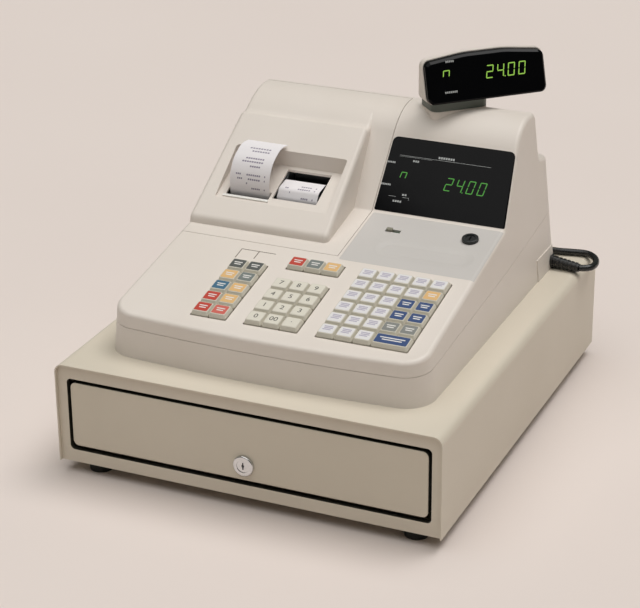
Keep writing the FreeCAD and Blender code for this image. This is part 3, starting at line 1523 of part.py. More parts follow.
def mains_lead():
    root = V(relief_x, relief_y, relief_z)
    flange_start = root - V(wall + side_step_proud, 0, 0)
    flange = rod(relief_flange_radius, root + V(draft * relief_flange_radius, 0, 0),
                 root + V(draft * relief_flange_radius + relief_flange, 0, 0))
    stub = rod(relief_root_radius, flange_start, root + V(relief_flange, 0, 0))
    length = (relief_end - root).Length
    body = Part.makeCone(relief_root_radius, relief_end_radius, length, root, relief_along)
    pieces = [flange, stub, body]
    for i in range(1, relief_ring_count + 1):
        share = i / (relief_ring_count + 1)
        radius = relief_root_radius + (relief_end_radius - relief_root_radius) * share + relief_ring_rise
        start = root + relief_along * (length * share)
        pieces.append(rod(radius, start, start + relief_along * relief_ring))
    cord_bore = rod(cord_radius + fit_clearance, relief_end, relief_end + (cord_route[0] - relief_end) / 2)
    save("strain_relief", fused(pieces).cut(cord_bore))

    entry, entry_t = coil_point(0), coil_tangent(0)
    points = [relief_end] + cord_route + [entry - entry_t * (2 * cord_radius), entry]
    wire = cord_path(points, cord_arc_share)
    save("power_cord", tube(wire, relief_end, cord_route[0] - relief_end))

    edges = []
    for i in range(coil_turns * 4):
        a, b = i / 4, (i + 1) / 4
        edges += biarc(coil_point(a), coil_tangent(a), coil_point(b), coil_tangent(b))
    end, along = coil_point(coil_turns), coil_tangent(coil_turns)
    plug_z = plug_thickness / 2 + cord_gap
    rise = plug_z - end.z
    angle = math.radians(tail_bend_angle)
    radius = rise / (2 * (1 - math.cos(angle)))
    a = end + along * (2 * cord_radius)
    reach = radius * math.tan(angle / 2)
    slope = along * math.cos(angle) + V(0, 0, math.sin(angle))
    q1 = a + along * reach
    middle = q1 + slope * reach
    q2 = middle + slope * reach
    b = q2 + along * reach
    c = b + along * (2 * cord_radius)
    edges += [Part.makeLine(end, a), bend(a, q1, middle), bend(middle, q2, b), Part.makeLine(b, c)]
    wire = Part.Wire(edges)
    save("cord_coil", tube(wire, entry, entry_t))

    samples = wire.discretize(Number=1500)
    spacing = wire.Length / 1499
    skip = int(6 * cord_radius / spacing)
    gap = min((samples[i] - samples[j]).Length for i in range(len(samples)) for j in range(i + skip, len(samples), 2))
    print("coil least gap", round(gap - 2 * cord_radius, 2))

    across_plug = V(along.y, -along.x, 0)

    def plug_at(u, v):
        return c + along * v + across_plug * u - V(0, 0, plug_thickness / 2)

    half, neck = plug_width / 2, plug_neck_width / 2
    points = [plug_at(-neck, 0), plug_at(neck, 0), plug_at(half, plug_length / 2), plug_at(half, plug_length),
              plug_at(-half, plug_length), plug_at(-half, plug_length / 2)]
    corner = plug_thickness / 4
    body = prism(points, corner, V(0, 0, plug_thickness))
    pieces = [body]
    for side in (-1, 1):
        start = c + along * plug_length + across_plug * (side * plug_pin_spacing / 2)
        pieces.append(rod(plug_pin_radius, start, start + along * plug_pin_length))
    save("plug", fused(pieces))


drawer_case()
runners()
drawer_front()
drawer_box()
cash_tray()
coin_tray()
bill_clips()
drawer_lock()
release_latch()
register_shell()
printer_cover()
key_frame()
keys()
control_panel()
printer_mechanism()
papers()
customer_display()
electronics()
mains_lead()
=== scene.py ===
import bpy, bmesh, math
from mathutils import Matrix, Vector


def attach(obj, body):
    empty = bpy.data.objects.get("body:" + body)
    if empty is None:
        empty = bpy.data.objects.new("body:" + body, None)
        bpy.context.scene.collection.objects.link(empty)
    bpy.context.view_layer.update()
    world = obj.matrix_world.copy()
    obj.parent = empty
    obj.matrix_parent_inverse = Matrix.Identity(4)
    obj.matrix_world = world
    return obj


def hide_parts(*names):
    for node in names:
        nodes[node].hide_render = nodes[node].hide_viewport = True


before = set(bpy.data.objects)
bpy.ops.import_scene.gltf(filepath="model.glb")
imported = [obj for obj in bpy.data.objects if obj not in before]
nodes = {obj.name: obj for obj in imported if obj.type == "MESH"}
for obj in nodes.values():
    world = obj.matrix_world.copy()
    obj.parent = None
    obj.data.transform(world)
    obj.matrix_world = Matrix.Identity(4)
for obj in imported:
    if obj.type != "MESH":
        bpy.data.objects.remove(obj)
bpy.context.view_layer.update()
mm = 0.001

# Camera
# Where the photograph was taken from: in front and to the right of the register, looking down on its keys.
camera_place = Vector((780.19, -1796.92, 997.27)) * mm
azimuth, elevation, roll = (math.radians(a) for a in (24.062, 24.134, -0.555))
ahead = Vector((-math.sin(azimuth) * math.cos(elevation), math.cos(azimuth) * math.cos(elevation),
                -math.sin(elevation)))
aside = Vector((math.cos(azimuth), math.sin(azimuth), 0))
above = aside.cross(ahead)
rightward = aside * math.cos(roll) + above * math.sin(roll)
upward = above * math.cos(roll) - aside * math.sin(roll)
camera = bpy.data.objects.new("camera", bpy.data.cameras.new("camera"))
camera.data.lens = 118.516
camera.data.sensor_width = 36
camera.data.clip_end = 50
camera.matrix_world = (Matrix.Translation(camera_place)
                       @ Matrix((rightward, upward, -ahead)).transposed().to_4x4())
bpy.context.scene.collection.objects.link(camera)
bpy.context.scene.camera = camera

# Mains lead
# A round black PVC lead, seven millimetres thick, with a moulded strain relief at the rear of the register
# and a two-pin plug. It turns round the rear corner; its spare length lies coiled on the counter behind.


def linear(hexa):
    """Linear colour from an sRGB hex value."""
    parts = [int(hexa[i:i + 2], 16) / 255 for i in (1, 3, 5)]
    return [c / 12.92 if c <= 0.04045 else ((c + 0.055) / 1.055) ** 2.4 for c in parts] + [1.0]


def node(made, kind, settings, inputs, links):
    """Adds a node to a material, with its settings, its inputs' values, and its links from (node, output)."""
    added = made.node_tree.nodes.new(kind)
    for key, value in settings.items():
        setattr(added, key, value)
    for key, value in inputs.items():
        added.inputs[key].default_value = value
    for key, (source, output) in links.items():
        made.node_tree.links.new(source.outputs[output], added.inputs[key])
    return added


def blank(name):
    """A material with no nodes but the one that gives a place in the register's own space, in metres."""
    made = bpy.data.materials.new(name)
    made.use_nodes = True
    made.node_tree.nodes.clear()
    return made, node(made, "ShaderNodeTexCoord", {}, {}, {})


def dress(made, *names):
    """Gives CAD nodes or pieces one material in place of what they had."""
    for name in names:
        mesh = (nodes[name] if isinstance(name, str) else name).data
        mesh.materials.clear()
        mesh.materials.append(made)


cord_exit = Vector((199.26, 173.5, 123.6))
cord_points = [(209, 176.3, 123.6), (211.8, 188.5, 122.8), (209.8, 201, 122.4), (204, 211.8, 122.2),
               (194.3, 218.6, 122.1), (181, 217, 122), (165, 213.2, 122), (140, 211.5, 122.1),
               (114, 214, 122.4), (93, 224, 124.5), (79.5, 239, 123.2), (71.5, 253.5, 113),
               (67.5, 262.5, 94), (66, 267.5, 73),
               (66.2, 275, 54), (67.8, 288, 38.5), (70.2, 304, 29.4)]
coil_x, coil_y, coil_radius, coil_pitch, coil_start = 30, 335, 38.5, 7.6, math.radians(-10)
coil_turns, coil_layers, coil_floor, cord_thick = 6, 4, 3.8, 7.0


def coil_place(turn):
    """Place on the coil. Its turns spiral in and out again, and each layer lies on the one below."""
    layer_turns = coil_turns / coil_layers
    depth = layer_turns * coil_pitch / 2
    phase = (turn % (2 * layer_turns)) / layer_turns
    radius = coil_radius + depth - 2 * depth * (phase if phase < 1 else 2 - phase)
    level = coil_layers - 1
    for k in range(1, coil_layers):
        level -= min(max((turn - k * layer_turns) * 2 + 0.5, 0), 1)
    angle = coil_start + 2 * math.pi * turn
    return Vector((coil_x + radius * math.cos(angle), coil_y + radius * math.sin(angle),
                   coil_floor + level * coil_pitch))


coil_in, coil_out = coil_place(0), coil_place(coil_turns)
along_in = Vector((-math.sin(coil_start), math.cos(coil_start), 0))
route = [cord_exit] + [Vector(p) for p in cord_points] + [coil_in - along_in * 7]
route += [coil_place(i / 16) for i in range(coil_turns * 16)]
route += [coil_out + along_in * run + Vector((0, 0, lift))
          for run, lift in ((0, 0), (7, 0), (20, 0.9), (30, 2.8), (42, 3.7), (49, 3.7))]
lead_curve = bpy.data.curves.new("mains_cord", "CURVE")
lead_curve.dimensions = "3D"
line = lead_curve.splines.new("NURBS")
line.points.add(len(route) - 1)
for point, spot in zip(line.points, route):
    point.co = (*(spot * mm), 1)
line.order_u = 3
line.use_endpoint_u = True
line.resolution_u = 6
lead_curve.bevel_depth = cord_thick / 2 * mm
lead_curve.bevel_resolution = 6
lead_curve.use_fill_caps = True
mains_cord = bpy.data.objects.new("mains_cord", lead_curve)
bpy.context.scene.collection.objects.link(mains_cord)

# Extruded black PVC: a soft satin sheen that breaks up a little along its length
pvc, place = blank("extruded PVC sheath")
haze = node(pvc, "ShaderNodeTexNoise", {}, {"Scale": 1 / (5 * mm), "Detail": 3.0},
            {"Vector": (place, "Object")})
tint = node(pvc, "ShaderNodeMix", {"data_type": "RGBA"}, {6: linear("#121212"), 7: linear("#1D1D1E")},
            {0: (haze, 0)})
dull = node(pvc, "ShaderNodeMapRange", {}, {"To Min": 0.2, "To Max": 0.34}, {"Value": (haze, 0)})
skin = node(pvc, "ShaderNodeBsdfPrincipled", {}, {"IOR": 1.53},
            {"Base Color": (tint, 2), "Roughness": (dull, 0)})
node(pvc, "ShaderNodeOutputMaterial", {}, {}, {"Surface": (skin, 0)})
dress(pvc, mains_cord, "strain_relief", "plug")
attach(mains_cord, "case")
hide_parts("power_cord", "cord_coil")

# Drawer case
# A box of folded sheet steel with a welded front frame and a screwed base, sprayed with a pale stone enamel
# and baked. The finish is level from afar and has the slight orange peel of sprayed paint near by. The edges
# of the drawer's opening carry painted shade, a dark tone behind the face, which deepens the gap round the
# drawer.
frame_shade_from, front_shade_from, nothing_shaded = -228.0, -227.6, 9000


def enamel(name, pale, deep, shade_from=nothing_shaded):
    """Baked enamel: orange peel 3 mm across, a slow drift of tone, and painted shade behind a place in y."""
    made, place = blank(name)
    peel = node(made, "ShaderNodeTexNoise", {}, {"Scale": 1 / (3 * mm), "Detail": 1.0},
                {"Vector": (place, "Object")})
    drift = node(made, "ShaderNodeTexNoise", {}, {"Scale": 1 / (120 * mm), "Detail": 3.0},
                 {"Vector": (place, "Object")})
    tint = node(made, "ShaderNodeMix", {"data_type": "RGBA"}, {6: linear(pale), 7: linear(deep)},
                {0: (drift, 0)})
    # Painted shade: every face behind the given y is painted dark grey-brown, as if in the shade of the gap.
    depth = node(made, "ShaderNodeSeparateXYZ", {}, {}, {0: (place, "Object")})
    inside = node(made, "ShaderNodeMath", {"operation": "GREATER_THAN"}, {1: shade_from * mm},
                  {0: (depth, "Y")})
    tone = node(made, "ShaderNodeMix", {"data_type": "RGBA"}, {7: linear("#3A382F")},
                {0: (inside, 0), 6: (tint, 2)})
    gloss = node(made, "ShaderNodeMapRange", {}, {"To Min": 0.34, "To Max": 0.46}, {"Value": (drift, 0)})
    bump = node(made, "ShaderNodeBump", {}, {"Strength": 0.12, "Distance": 0.05 * mm}, {"Height": (peel, 0)})
    paint = node(made, "ShaderNodeBsdfPrincipled", {}, {"IOR": 1.5},
                 {"Base Color": (tone, 2), "Roughness": (gloss, 0), "Normal": (bump, 0)})
    node(made, "ShaderNodeOutputMaterial", {}, {}, {"Surface": (paint, 0)})
    return made


dress(enamel("baked enamel on sheet steel", "#DCD2C2", "#D3C9B8"), "case_cover", "case_base")
dress(enamel("baked enamel, painted shade behind", "#DCD2C2", "#D3C9B8", frame_shade_from), "case_front_frame")

# Cash drawer
# The same sheet steel and enamel as its case: a flat front panel, with a plain box behind it on two rails.
# The panel stands in a narrow gap. Its edges behind the face carry painted shade, which together with the
# gap's depth makes the dark line round it.
dress(enamel("baked enamel on the drawer", "#DAD0BF", "#D1C7B5"), "drawer_box")
# The front's edges behind its face are painted dark as painted shade of the gap.
dress(enamel("baked enamel on the drawer front, painted shade behind", "#DAD0BF", "#D1C7B5", front_shade_from), "drawer_front")

# Drawer runners, latch and screws
# Pressed and turned steel parts with bright zinc plating, which shows as small crystals of unlike tone.


def plated(name, pale, deep, grain, low, high):
    """Plated steel: grains of slightly unlike tone and polish, drawn as wide in millimetres as shows."""
    made, place = blank(name)
    cell = node(made, "ShaderNodeTexVoronoi", {}, {"Scale": 1 / (grain * mm)}, {"Vector": (place, "Object")})
    tint = node(made, "ShaderNodeMix", {"data_type": "RGBA"}, {6: linear(pale), 7: linear(deep)},
                {0: (cell, "Color")})
    gloss = node(made, "ShaderNodeMapRange", {}, {"To Min": low, "To Max": high}, {"Value": (cell, "Color")})
    metal = node(made, "ShaderNodeBsdfPrincipled", {}, {"Metallic": 1.0},
                 {"Base Color": (tint, 2), "Roughness": (gloss, 0)})
    node(made, "ShaderNodeOutputMaterial", {}, {}, {"Surface": (metal, 0)})
    return made


zinc = plated("bright zinc plate on steel", "#C6C8C9", "#AEB1B3", 6, 0.28, 0.42)
dress(zinc, "rails_outer", "rails_middle", "rails_inner", "latch_hook", "latch_solenoid", "solenoid_plunger",
      "case_screws", "clip_rod")

# Drawer lock
# A turned brass cam lock: a raised ring and a plug with a keyway. The chrome plate is nearly a mirror, so it
# takes the tone of the counter and the lamps.
chrome = plated("polished chrome plate on brass", "#DDDEDF", "#CFD0D2", 1.5, 0.06, 0.12)
dress(chrome, "drawer_lock", "lock_plug")

# Till trays and bill clips
# A lift-out tray with coin cups and bill bays, moulded in black polystyrene, which is dull, and wire clips
# whose nickel plate glints.


def moulded(name, pale, deep, grain, rough, depth=0.03, ior=1.53):
    """Moulded plastic: spark-eroded grain, drawn as wide in millimetres as it needs to be to show."""
    made, place = blank(name)
    grit = node(made, "ShaderNodeTexNoise", {}, {"Scale": 1 / (grain * mm), "Detail": 2.0},
                {"Vector": (place, "Object")})
    drift = node(made, "ShaderNodeTexNoise", {}, {"Scale": 1 / (70 * mm), "Detail": 2.0},
                 {"Vector": (place, "Object")})
    tint = node(made, "ShaderNodeMix", {"data_type": "RGBA"}, {6: linear(pale), 7: linear(deep)},
                {0: (drift, 0)})
    dull = node(made, "ShaderNodeMapRange", {}, {"To Min": rough - 0.05, "To Max": rough + 0.05},
                {"Value": (grit, 0)})
    bump = node(made, "ShaderNodeBump", {}, {"Strength": 0.25, "Distance": depth * mm}, {"Height": (grit, 0)})
    plastic = node(made, "ShaderNodeBsdfPrincipled", {}, {"IOR": ior},
                   {"Base Color": (tint, 2), "Roughness": (dull, 0), "Normal": (bump, 0)})
    node(made, "ShaderNodeOutputMaterial", {}, {}, {"Surface": (plastic, 0)})
    return made


dress(moulded("moulded polystyrene tray", "#2B2B2A", "#232322", 1.2, 0.5), "till_tray", "coin_tray")
dress(plated("nickel plate on spring steel", "#CDCBC5", "#BFBDB6", 1.2, 0.18, 0.26),
      *[f"bill_clip_{i}" for i in range(1, 5)])

# Feet
# Four turned feet of black rubber, screwed to the base, dull and a little dusty.
dress(moulded("moulded black rubber", "#191918", "#262624", 0.8, 0.8, 0.06), "case_feet")

# Register case
# Two injection-moulded ABS shells, screwed together from below along the line round the lower case, and a
# lift-off cover over the printer. The plastic is warm white, with a fine grain that takes the shine off it.
warm_abs = moulded("moulded ABS, fine grain", "#E6DDD5", "#E0D6CC", 0.9, 0.44)
dress(warm_abs, "lower_case", "upper_case", "printer_cover", "key_frame")

# Key tops
# Every key is a square ABS cap with sloping sides. A coloured paper label lies on most of its top under a
# thin clear cap that shines, and the number keys have their figures printed on the plastic itself.
deck_angle, deck_foot = math.radians(10.5), Vector((0, -197, 160.7))
deck_along = Vector((0, math.cos(deck_angle), math.sin(deck_angle)))
deck_up = Vector((0, -math.sin(deck_angle), math.cos(deck_angle)))


def on_deck(x, s, height):
    """Place on the sloping key deck: across, up the slope and above it."""
    return (deck_foot + Vector((x, 0, 0)) + deck_along * s + deck_up * height) * mm


def rounded(x0, x1, y0, y1, corner, steps=4):
    """Outline of a rectangle with round corners."""
    corners = ((x1 - corner, y0 + corner, -90), (x1 - corner, y1 - corner, 0),
               (x0 + corner, y1 - corner, 90), (x0 + corner, y0 + corner, 180))
    return [(x + corner * math.cos(math.radians(start + 90 * i / steps)),
             y + corner * math.sin(math.radians(start + 90 * i / steps)))
            for x, y, start in corners for i in range(steps + 1)]


def raised(name, shapes, surface, body, materials, texts=()):
    """One piece of thin plates and figures on a surface. A shape is its outline, two levels and material."""
    form = bmesh.new()
    for outline, low, high, which in shapes:
        count = len(outline)
        under = [form.verts.new(surface(u, v, low)) for u, v in outline]
        over = [form.verts.new(surface(u, v, high)) for u, v in outline]
        faces = [form.faces.new(over), form.faces.new(under[::-1])]
        faces += [form.faces.new((under[i], under[(i + 1) % count], over[(i + 1) % count], over[i]))
                  for i in range(count)]
        for face in faces:
            face.material_index = which
    for words, size, u, v, height, which in texts:
        letters = bpy.data.curves.new(name, "FONT")
        letters.body = words
        letters.size = size * mm
        letters.align_x, letters.align_y = "CENTER", "CENTER"
        letters.extrude = 0.04 * mm
        holder = bpy.data.objects.new(name, letters)
        flat = bpy.data.meshes.new_from_object(holder)
        centre, east, north = surface(u, v, height), surface(u + 1, v, height), surface(u, v + 1, height)
        east, north = (east - centre).normalized(), (north - centre).normalized()
        turn = Matrix((east, north, east.cross(north))).transposed().to_4x4()
        flat.transform(Matrix.Translation(centre) @ turn)
        start = len(form.faces)
        form.from_mesh(flat)
        form.faces.ensure_lookup_table()
        for face in form.faces[start:]:
            face.material_index = which
        bpy.data.objects.remove(holder)
        bpy.data.curves.remove(letters)
        bpy.data.meshes.remove(flat)
    mesh = bpy.data.meshes.new(name)
    form.to_mesh(mesh)
    form.free()
    piece = bpy.data.objects.new(name, mesh)
    bpy.context.scene.collection.objects.link(piece)
    for made in materials:
        mesh.materials.append(made)
    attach(piece, body)
    return piece


def printed(name, hexa, rough=0.3, coat=0.5):
    """Printed paper under a clear cap: the fibres mottle the ink a little, and the cap gives it a gloss."""
    made, place = blank(name)
    fibre = node(made, "ShaderNodeTexNoise", {}, {"Scale": 1 / (1.5 * mm), "Detail": 4.0},
                 {"Vector": (place, "Object")})
    shade = linear(hexa)
    tint = node(made, "ShaderNodeMix", {"data_type": "RGBA"},
                {6: shade, 7: [c * 0.88 for c in shade[:3]] + [1.0]}, {0: (fibre, 0)})
    dull = node(made, "ShaderNodeMapRange", {}, {"To Min": rough, "To Max": rough + 0.12},
                {"Value": (fibre, 0)})
    ink = node(made, "ShaderNodeBsdfPrincipled", {}, {"Coat Weight": coat, "Coat Roughness": 0.08},
               {"Base Color": (tint, 2), "Roughness": (dull, 0)})
    node(made, "ShaderNodeOutputMaterial", {}, {}, {"Surface": (ink, 0)})
    return made


key_abs = moulded("moulded ABS key cap", "#D6D0C2", "#CFC9BA", 0.7, 0.36, 0.02)
key_names = ([f"left_keys_{i}" for i in (1, 2)] + [f"number_keys_{i}" for i in (1, 2, 3)] + ["top_keys"]
             + [f"right_keys_{i}" for i in range(1, 6)] + ["total_key"])
dress(key_abs, *key_names)
label_colours = {"white": "#EFECEC", "charcoal": "#5E605E", "grey": "#8D8E8A", "orange": "#EDC185",
                 "blue": "#47738F", "red": "#CC4A3C", "pink": "#DB6E62", "navy": "#3F5584",
                 "cream": "#EAE4D6", "slate": "#7F8683"}
label_inks = {name: printed(f"label paper, {name}", shade) for name, shade in label_colours.items()}
lavender = printed("lavender printing ink", "#BDB6C8")
pale_ink = printed("white printing ink", "#F2EEEA")
dark_ink = printed("dark printing ink", "#4B4A45", 0.5, 0.0)
row_start, row_step, key_top = 35.6, 19.75, 4.6
left_x, number_x, right_x = (-72.2, -53.7), (-16.2, 2.3, 20.8), [58.2 + 18.5 * i for i in range(5)]
label_half, label_depth, half_pitch, figure_size, bar_half = 7.0, 6.7, 9.25, 8.8, 0.75
rows_of_bars = {"white": ((-4.6, 4.6, 3.4), (-4.0, 4.9, 0.9), (-4.8, 3.6, -1.6)),
                "dark": ((-4.4, 4.4, 1.9), (-3.4, 3.6, -1.3))}


def label_key(body, keys):
    """Labels of one group of keys: a key is its centre, row, colour, and its figures if it has any."""
    shapes, texts, inks = [], [], []
    wide = label_half + (half_pitch if body == "total_key" else 0)
    spread = (wide - 2) / (label_half - 2)
    for x, row, colour, figures in keys:
        s = row_start + row * row_step
        print_ink = dark_ink if figures else lavender if colour == "white" else pale_ink
        for ink in (label_inks[colour], print_ink):
            if ink not in inks:
                inks.append(ink)
        ground, mark = inks.index(label_inks[colour]), inks.index(print_ink)
        corner, thick = (1.6, 0.05) if figures else (1.2, 0.15)
        shapes.append((rounded(x - wide, x + wide, s - label_depth, s + label_depth, corner),
                       key_top - 0.2, key_top + thick, ground))
        if figures:
            texts.append((figures, figure_size, x, s, key_top + 0.09, mark))
            continue
        for x0, x1, v in rows_of_bars["white" if colour == "white" else "dark"]:
            bar = rounded(x + x0 * spread, x + x1 * spread, s + v - bar_half, s + v + bar_half, 0.4, 2)
            shapes.append((bar, key_top + 0.1, key_top + 0.2, mark))
    raised(f"{body}_labels", shapes, on_deck, body, inks, texts)


for i, colours in enumerate((("red", "red", "blue", "orange", "charcoal"),
                             ("pink", "orange", "orange", "slate", "charcoal"))):
    label_key(f"left_keys_{i + 1}", [(left_x[i], row, colour, "") for row, colour in enumerate(colours)])
for i, figures in enumerate((("0", "1", "4", "7"), ("00", "2", "5", "8"), ("·", "3", "6", "9"))):
    label_key(f"number_keys_{i + 1}", [(number_x[i], row, "cream", mark) for row, mark in enumerate(figures)])
label_key("top_keys", [(x, 5, colour, "") for x, colour in zip(number_x, ("red", "slate", "orange"))])
right_colours = [["white"] * 6, ["white"] * 6, ["white"] * 6,
                 [None, "grey", "navy", "navy", "white", "white"],
                 [None, "grey", "navy", "navy", "orange", "white"]]
for i, colours in enumerate(right_colours):
    label_key(f"right_keys_{i + 1}",
              [(right_x[i], row, colour, "") for row, colour in enumerate(colours) if colour])
label_key("total_key", [((right_x[3] + right_x[4]) / 2, 0, "navy", "")])

# Printed bracket
# Fine lines screen-printed on the key deck behind the left-hand keys, to take a written label.
raised("deck_bracket", [(((-83.6, 130), (-82.7, 130), (-82.7, 146.2), (-46, 146.2), (-46, 147.1),
                          (-83.6, 147.1)), -0.1, 0.04, 0),
                        (((-64.5, 133), (-63.6, 133), (-63.6, 146.2), (-64.5, 146.2)), -0.1, 0.04, 0)],
       on_deck, "case", [printed("brown printing ink", "#6B5D4E", 0.5, 0.0)])

# Control panel, mode switch and receipt switch
# A grey moulded ABS panel let into the deck, with a shallow dish for clips. The mode switch is a black key
# switch with a turning rotor, and the receipt switch a ribbed slide of acetal. All three are satin.
dress(moulded("moulded ABS, grey", "#CDC8C4", "#C7C2BD", 0.9, 0.42), "control_panel")
black_abs = moulded("moulded ABS, black", "#1A1C1D", "#131415", 0.8, 0.35)
dress(black_abs, "mode_switch_body", "mode_switch_rotor")
dress(moulded("moulded acetal slide", "#8E8B7C", "#837F70", 0.8, 0.4), "receipt_switch")

# Keyhole
# The opening for the drawer's key in the face of the lock's plug, stepped by its wards. A thin black plate
# laid in it is painted shade for its dark inside.
plug_face, lock_height = -231.4, 47.5


def on_lock(x, z, height):
    """Place on the face of the lock's plug: across, up and out of it."""
    return Vector((x, plug_face - height, lock_height + z)) * mm


keyhole_shade = [(-0.7, -3.6), (0.5, -3.6), (0.5, -1.4), (1.3, -0.5), (1.3, 0.7), (0.6, 1.5), (0.6, 3.6),
           (-0.7, 3.6), (-0.7, 1.7), (-1.4, 0.9), (-1.4, -0.6), (-0.7, -1.3)]
# The black plate is painted shade: it stands for the dark depth of the hole.
raised("keyhole_shade", [(keyhole_shade, -0.3, 0.05, 0)], on_lock, "lock", [black_abs])

# Display windows and their figures
# Smoked acrylic panes, nearly black when lit from above. Behind each is a vacuum fluorescent tube whose
# phosphor glows green. The words that the real panes carry are left as plain bars.


def acrylic(name, tone, depth):
    """Cast acrylic, smoked almost to black: clear gloss with the faintest haze of fine scratches."""
    made, place = blank(name)
    haze = node(made, "ShaderNodeTexNoise", {}, {"Scale": 1 / (12 * mm), "Detail": 5.0},
                {"Vector": (place, "Object")})
    tint = node(made, "ShaderNodeMix", {"data_type": "RGBA"}, {6: linear(tone), 7: linear(depth)},
                {0: (haze, 0)})
    gloss = node(made, "ShaderNodeMapRange", {}, {"To Min": 0.05, "To Max": 0.1}, {"Value": (haze, 0)})
    pane = node(made, "ShaderNodeBsdfPrincipled", {}, {"IOR": 1.49, "Specular IOR Level": 0.1},
                {"Base Color": (tint, 2), "Roughness": (gloss, 0)})
    node(made, "ShaderNodeOutputMaterial", {}, {}, {"Surface": (pane, 0)})
    return made


dress(acrylic("smoked acrylic", "#050507", "#08080A"), "display_window", "customer_display_window")


def glowing(name, pale, deep, strength):
    """Phosphor behind its fine grid, which lets through a little more light in some spots than in others."""
    made, place = blank(name)
    grid = node(made, "ShaderNodeTexNoise", {}, {"Scale": 1 / (1 * mm), "Detail": 1.0},
                {"Vector": (place, "Object")})
    glow = node(made, "ShaderNodeMix", {"data_type": "RGBA"}, {6: linear(deep), 7: linear(pale)},
                {0: (grid, 0)})
    tube = node(made, "ShaderNodeBsdfPrincipled", {},
                {"Roughness": 0.5, "Emission Strength": strength, "Base Color": linear("#10200C")},
                {"Emission Color": (glow, 2)})
    node(made, "ShaderNodeOutputMaterial", {}, {}, {"Surface": (tube, 0)})
    return made


phosphor = glowing("phosphor, operator's side", "#6CCB4E", "#3B9A38", 0.62)
pane_ink = printed("white ink on acrylic", "#B9BCBC", 0.4, 0.0)
segments = {"2": "abged", "4": "fgbc", "0": "abcdef", "n": "fab"}
window_foot, window_lean = Vector((0, 48, 206.1)), math.radians(52.5)


def lit(text, left, foot, wide, high, stroke, lean, pitch):
    """Outlines of seven-segment figures that lean to the right. A point takes no place of its own."""
    shapes, gap, slant = [], stroke * 0.28, math.tan(math.radians(lean))
    for mark in text:
        if mark == ".":
            dot = left - pitch + wide + stroke * 0.7
            shapes.append([(dot, foot), (dot + stroke, foot), (dot + stroke, foot + stroke),
                           (dot, foot + stroke)])
            continue
        x0, x1, y0, y1, y2 = left, left + wide, foot, foot + high / 2, foot + high
        ends = {"a": (x0, y2, x1, y2), "g": (x0, y1, x1, y1), "d": (x0, y0, x1, y0), "f": (x0, y1, x0, y2),
                "b": (x1, y1, x1, y2), "e": (x0, y0, x0, y1), "c": (x1, y0, x1, y1)}
        for name in segments[mark]:
            ax, ay, bx, by = ends[name]
            run = Vector((bx - ax, by - ay))
            u = run.normalized()
            v = Vector((-u.y, u.x)) * stroke / 2
            a, b = Vector((ax, ay)) + u * gap, Vector((bx, by)) - u * gap
            tip = u * stroke / 2
            points = [a, a + tip - v, b - tip - v, b, b - tip + v, a + tip + v]
            shift = Vector((stroke / 2 if ax == bx == x0 else -stroke / 2 if ax == bx else 0,
                            stroke / 2 if ay == by == y0 else -stroke / 2 if ay == by == y2 else 0))
            shapes.append([p + shift for p in points])
        left += pitch
    return [[(x + (y - foot) * slant, y) for x, y in shape] for shape in shapes]


def on_pane(x, s, height):
    """Place on the operator's leaning window: across, up the slope and above it."""
    return (window_foot + Vector((x, 0, 0)) + Vector((0, math.cos(window_lean), math.sin(window_lean))) * s
            + Vector((0, -math.sin(window_lean), math.cos(window_lean))) * height) * mm


def strip(x0, x1, y0, y1):
    """Outline of a bar."""
    return [(x0, y0), (x1, y0), (x1, y1), (x0, y1)]


figures = lit("24.00", 84.6, 32, 7.3, 14, 1.0, 9, 11.8) + lit("n", 34.5, 31.6, 6.6, 14, 0.95, 9, 12)
raised("operator_figures", [(shape, -0.1, 0.06, 0) for shape in figures],
       on_pane, "case", [phosphor])


def word(x0, x1, y0, y1, parts):
    """A word as a row of short bars, so that its grain reads like print from afar."""
    step = (x1 - x0) / parts
    return [strip(x0 + i * step, x0 + (i + 0.72) * step, y0, y1) for i in range(parts)]


pane_bars = [strip(30.4, 128.8, 62.6, 62.9), strip(30.4, 66, 61.6, 61.8), strip(29, 37, 18.6, 18.9),
             strip(44, 51, 18.6, 18.9), strip(50.7, 51, 16.6, 18.9)]
for row in ((72, 90, 64.2, 66.4, 7), (19, 28, 53.4, 55.2, 5), (17.9, 28.7, 29.4, 31.2, 6),
            (46, 53, 57.2, 59.2, 3), (43, 48.5, 20.6, 22.4, 2), (34.5, 44.5, 13, 15, 4)):
    pane_bars += word(*row)
raised("operator_marks", [(shape, -0.1, 0.06, 0) for shape in pane_bars],
       on_pane, "case", [pane_ink])

# Customer display
# A warm white ABS head on a neck that turns on top of the register. The neck is coloured dark olive grey as
# painted shade, for the head's shadow falls on it. Its smoked pane stands proud of the head as a deep cap with
# a bevelled rim, which takes a thin line of light.
swing, lean = math.radians(44), math.radians(18)
neck_top, pane_along, pane_front, pane_rise = Vector((66, 146, 330)), 26.9, 28.5, 24
head_along = Vector((math.cos(swing), math.sin(swing), 0))
head_out = Vector((math.sin(swing), -math.cos(swing), 0))
face_out = head_out * math.cos(lean) + Vector((0, 0, math.sin(lean)))
face_up = Vector((0, 0, math.cos(lean))) - head_out * math.sin(lean)
face_middle = neck_top + head_along * pane_along + head_out * (pane_front - pane_rise * math.tan(lean))


def on_face(d, u, height):
    """Place on the customer display's pane: across, up and out of it."""
    return (face_middle + head_along * d + face_up * u + face_out * height) * mm


dress(warm_abs, "customer_display_housing")
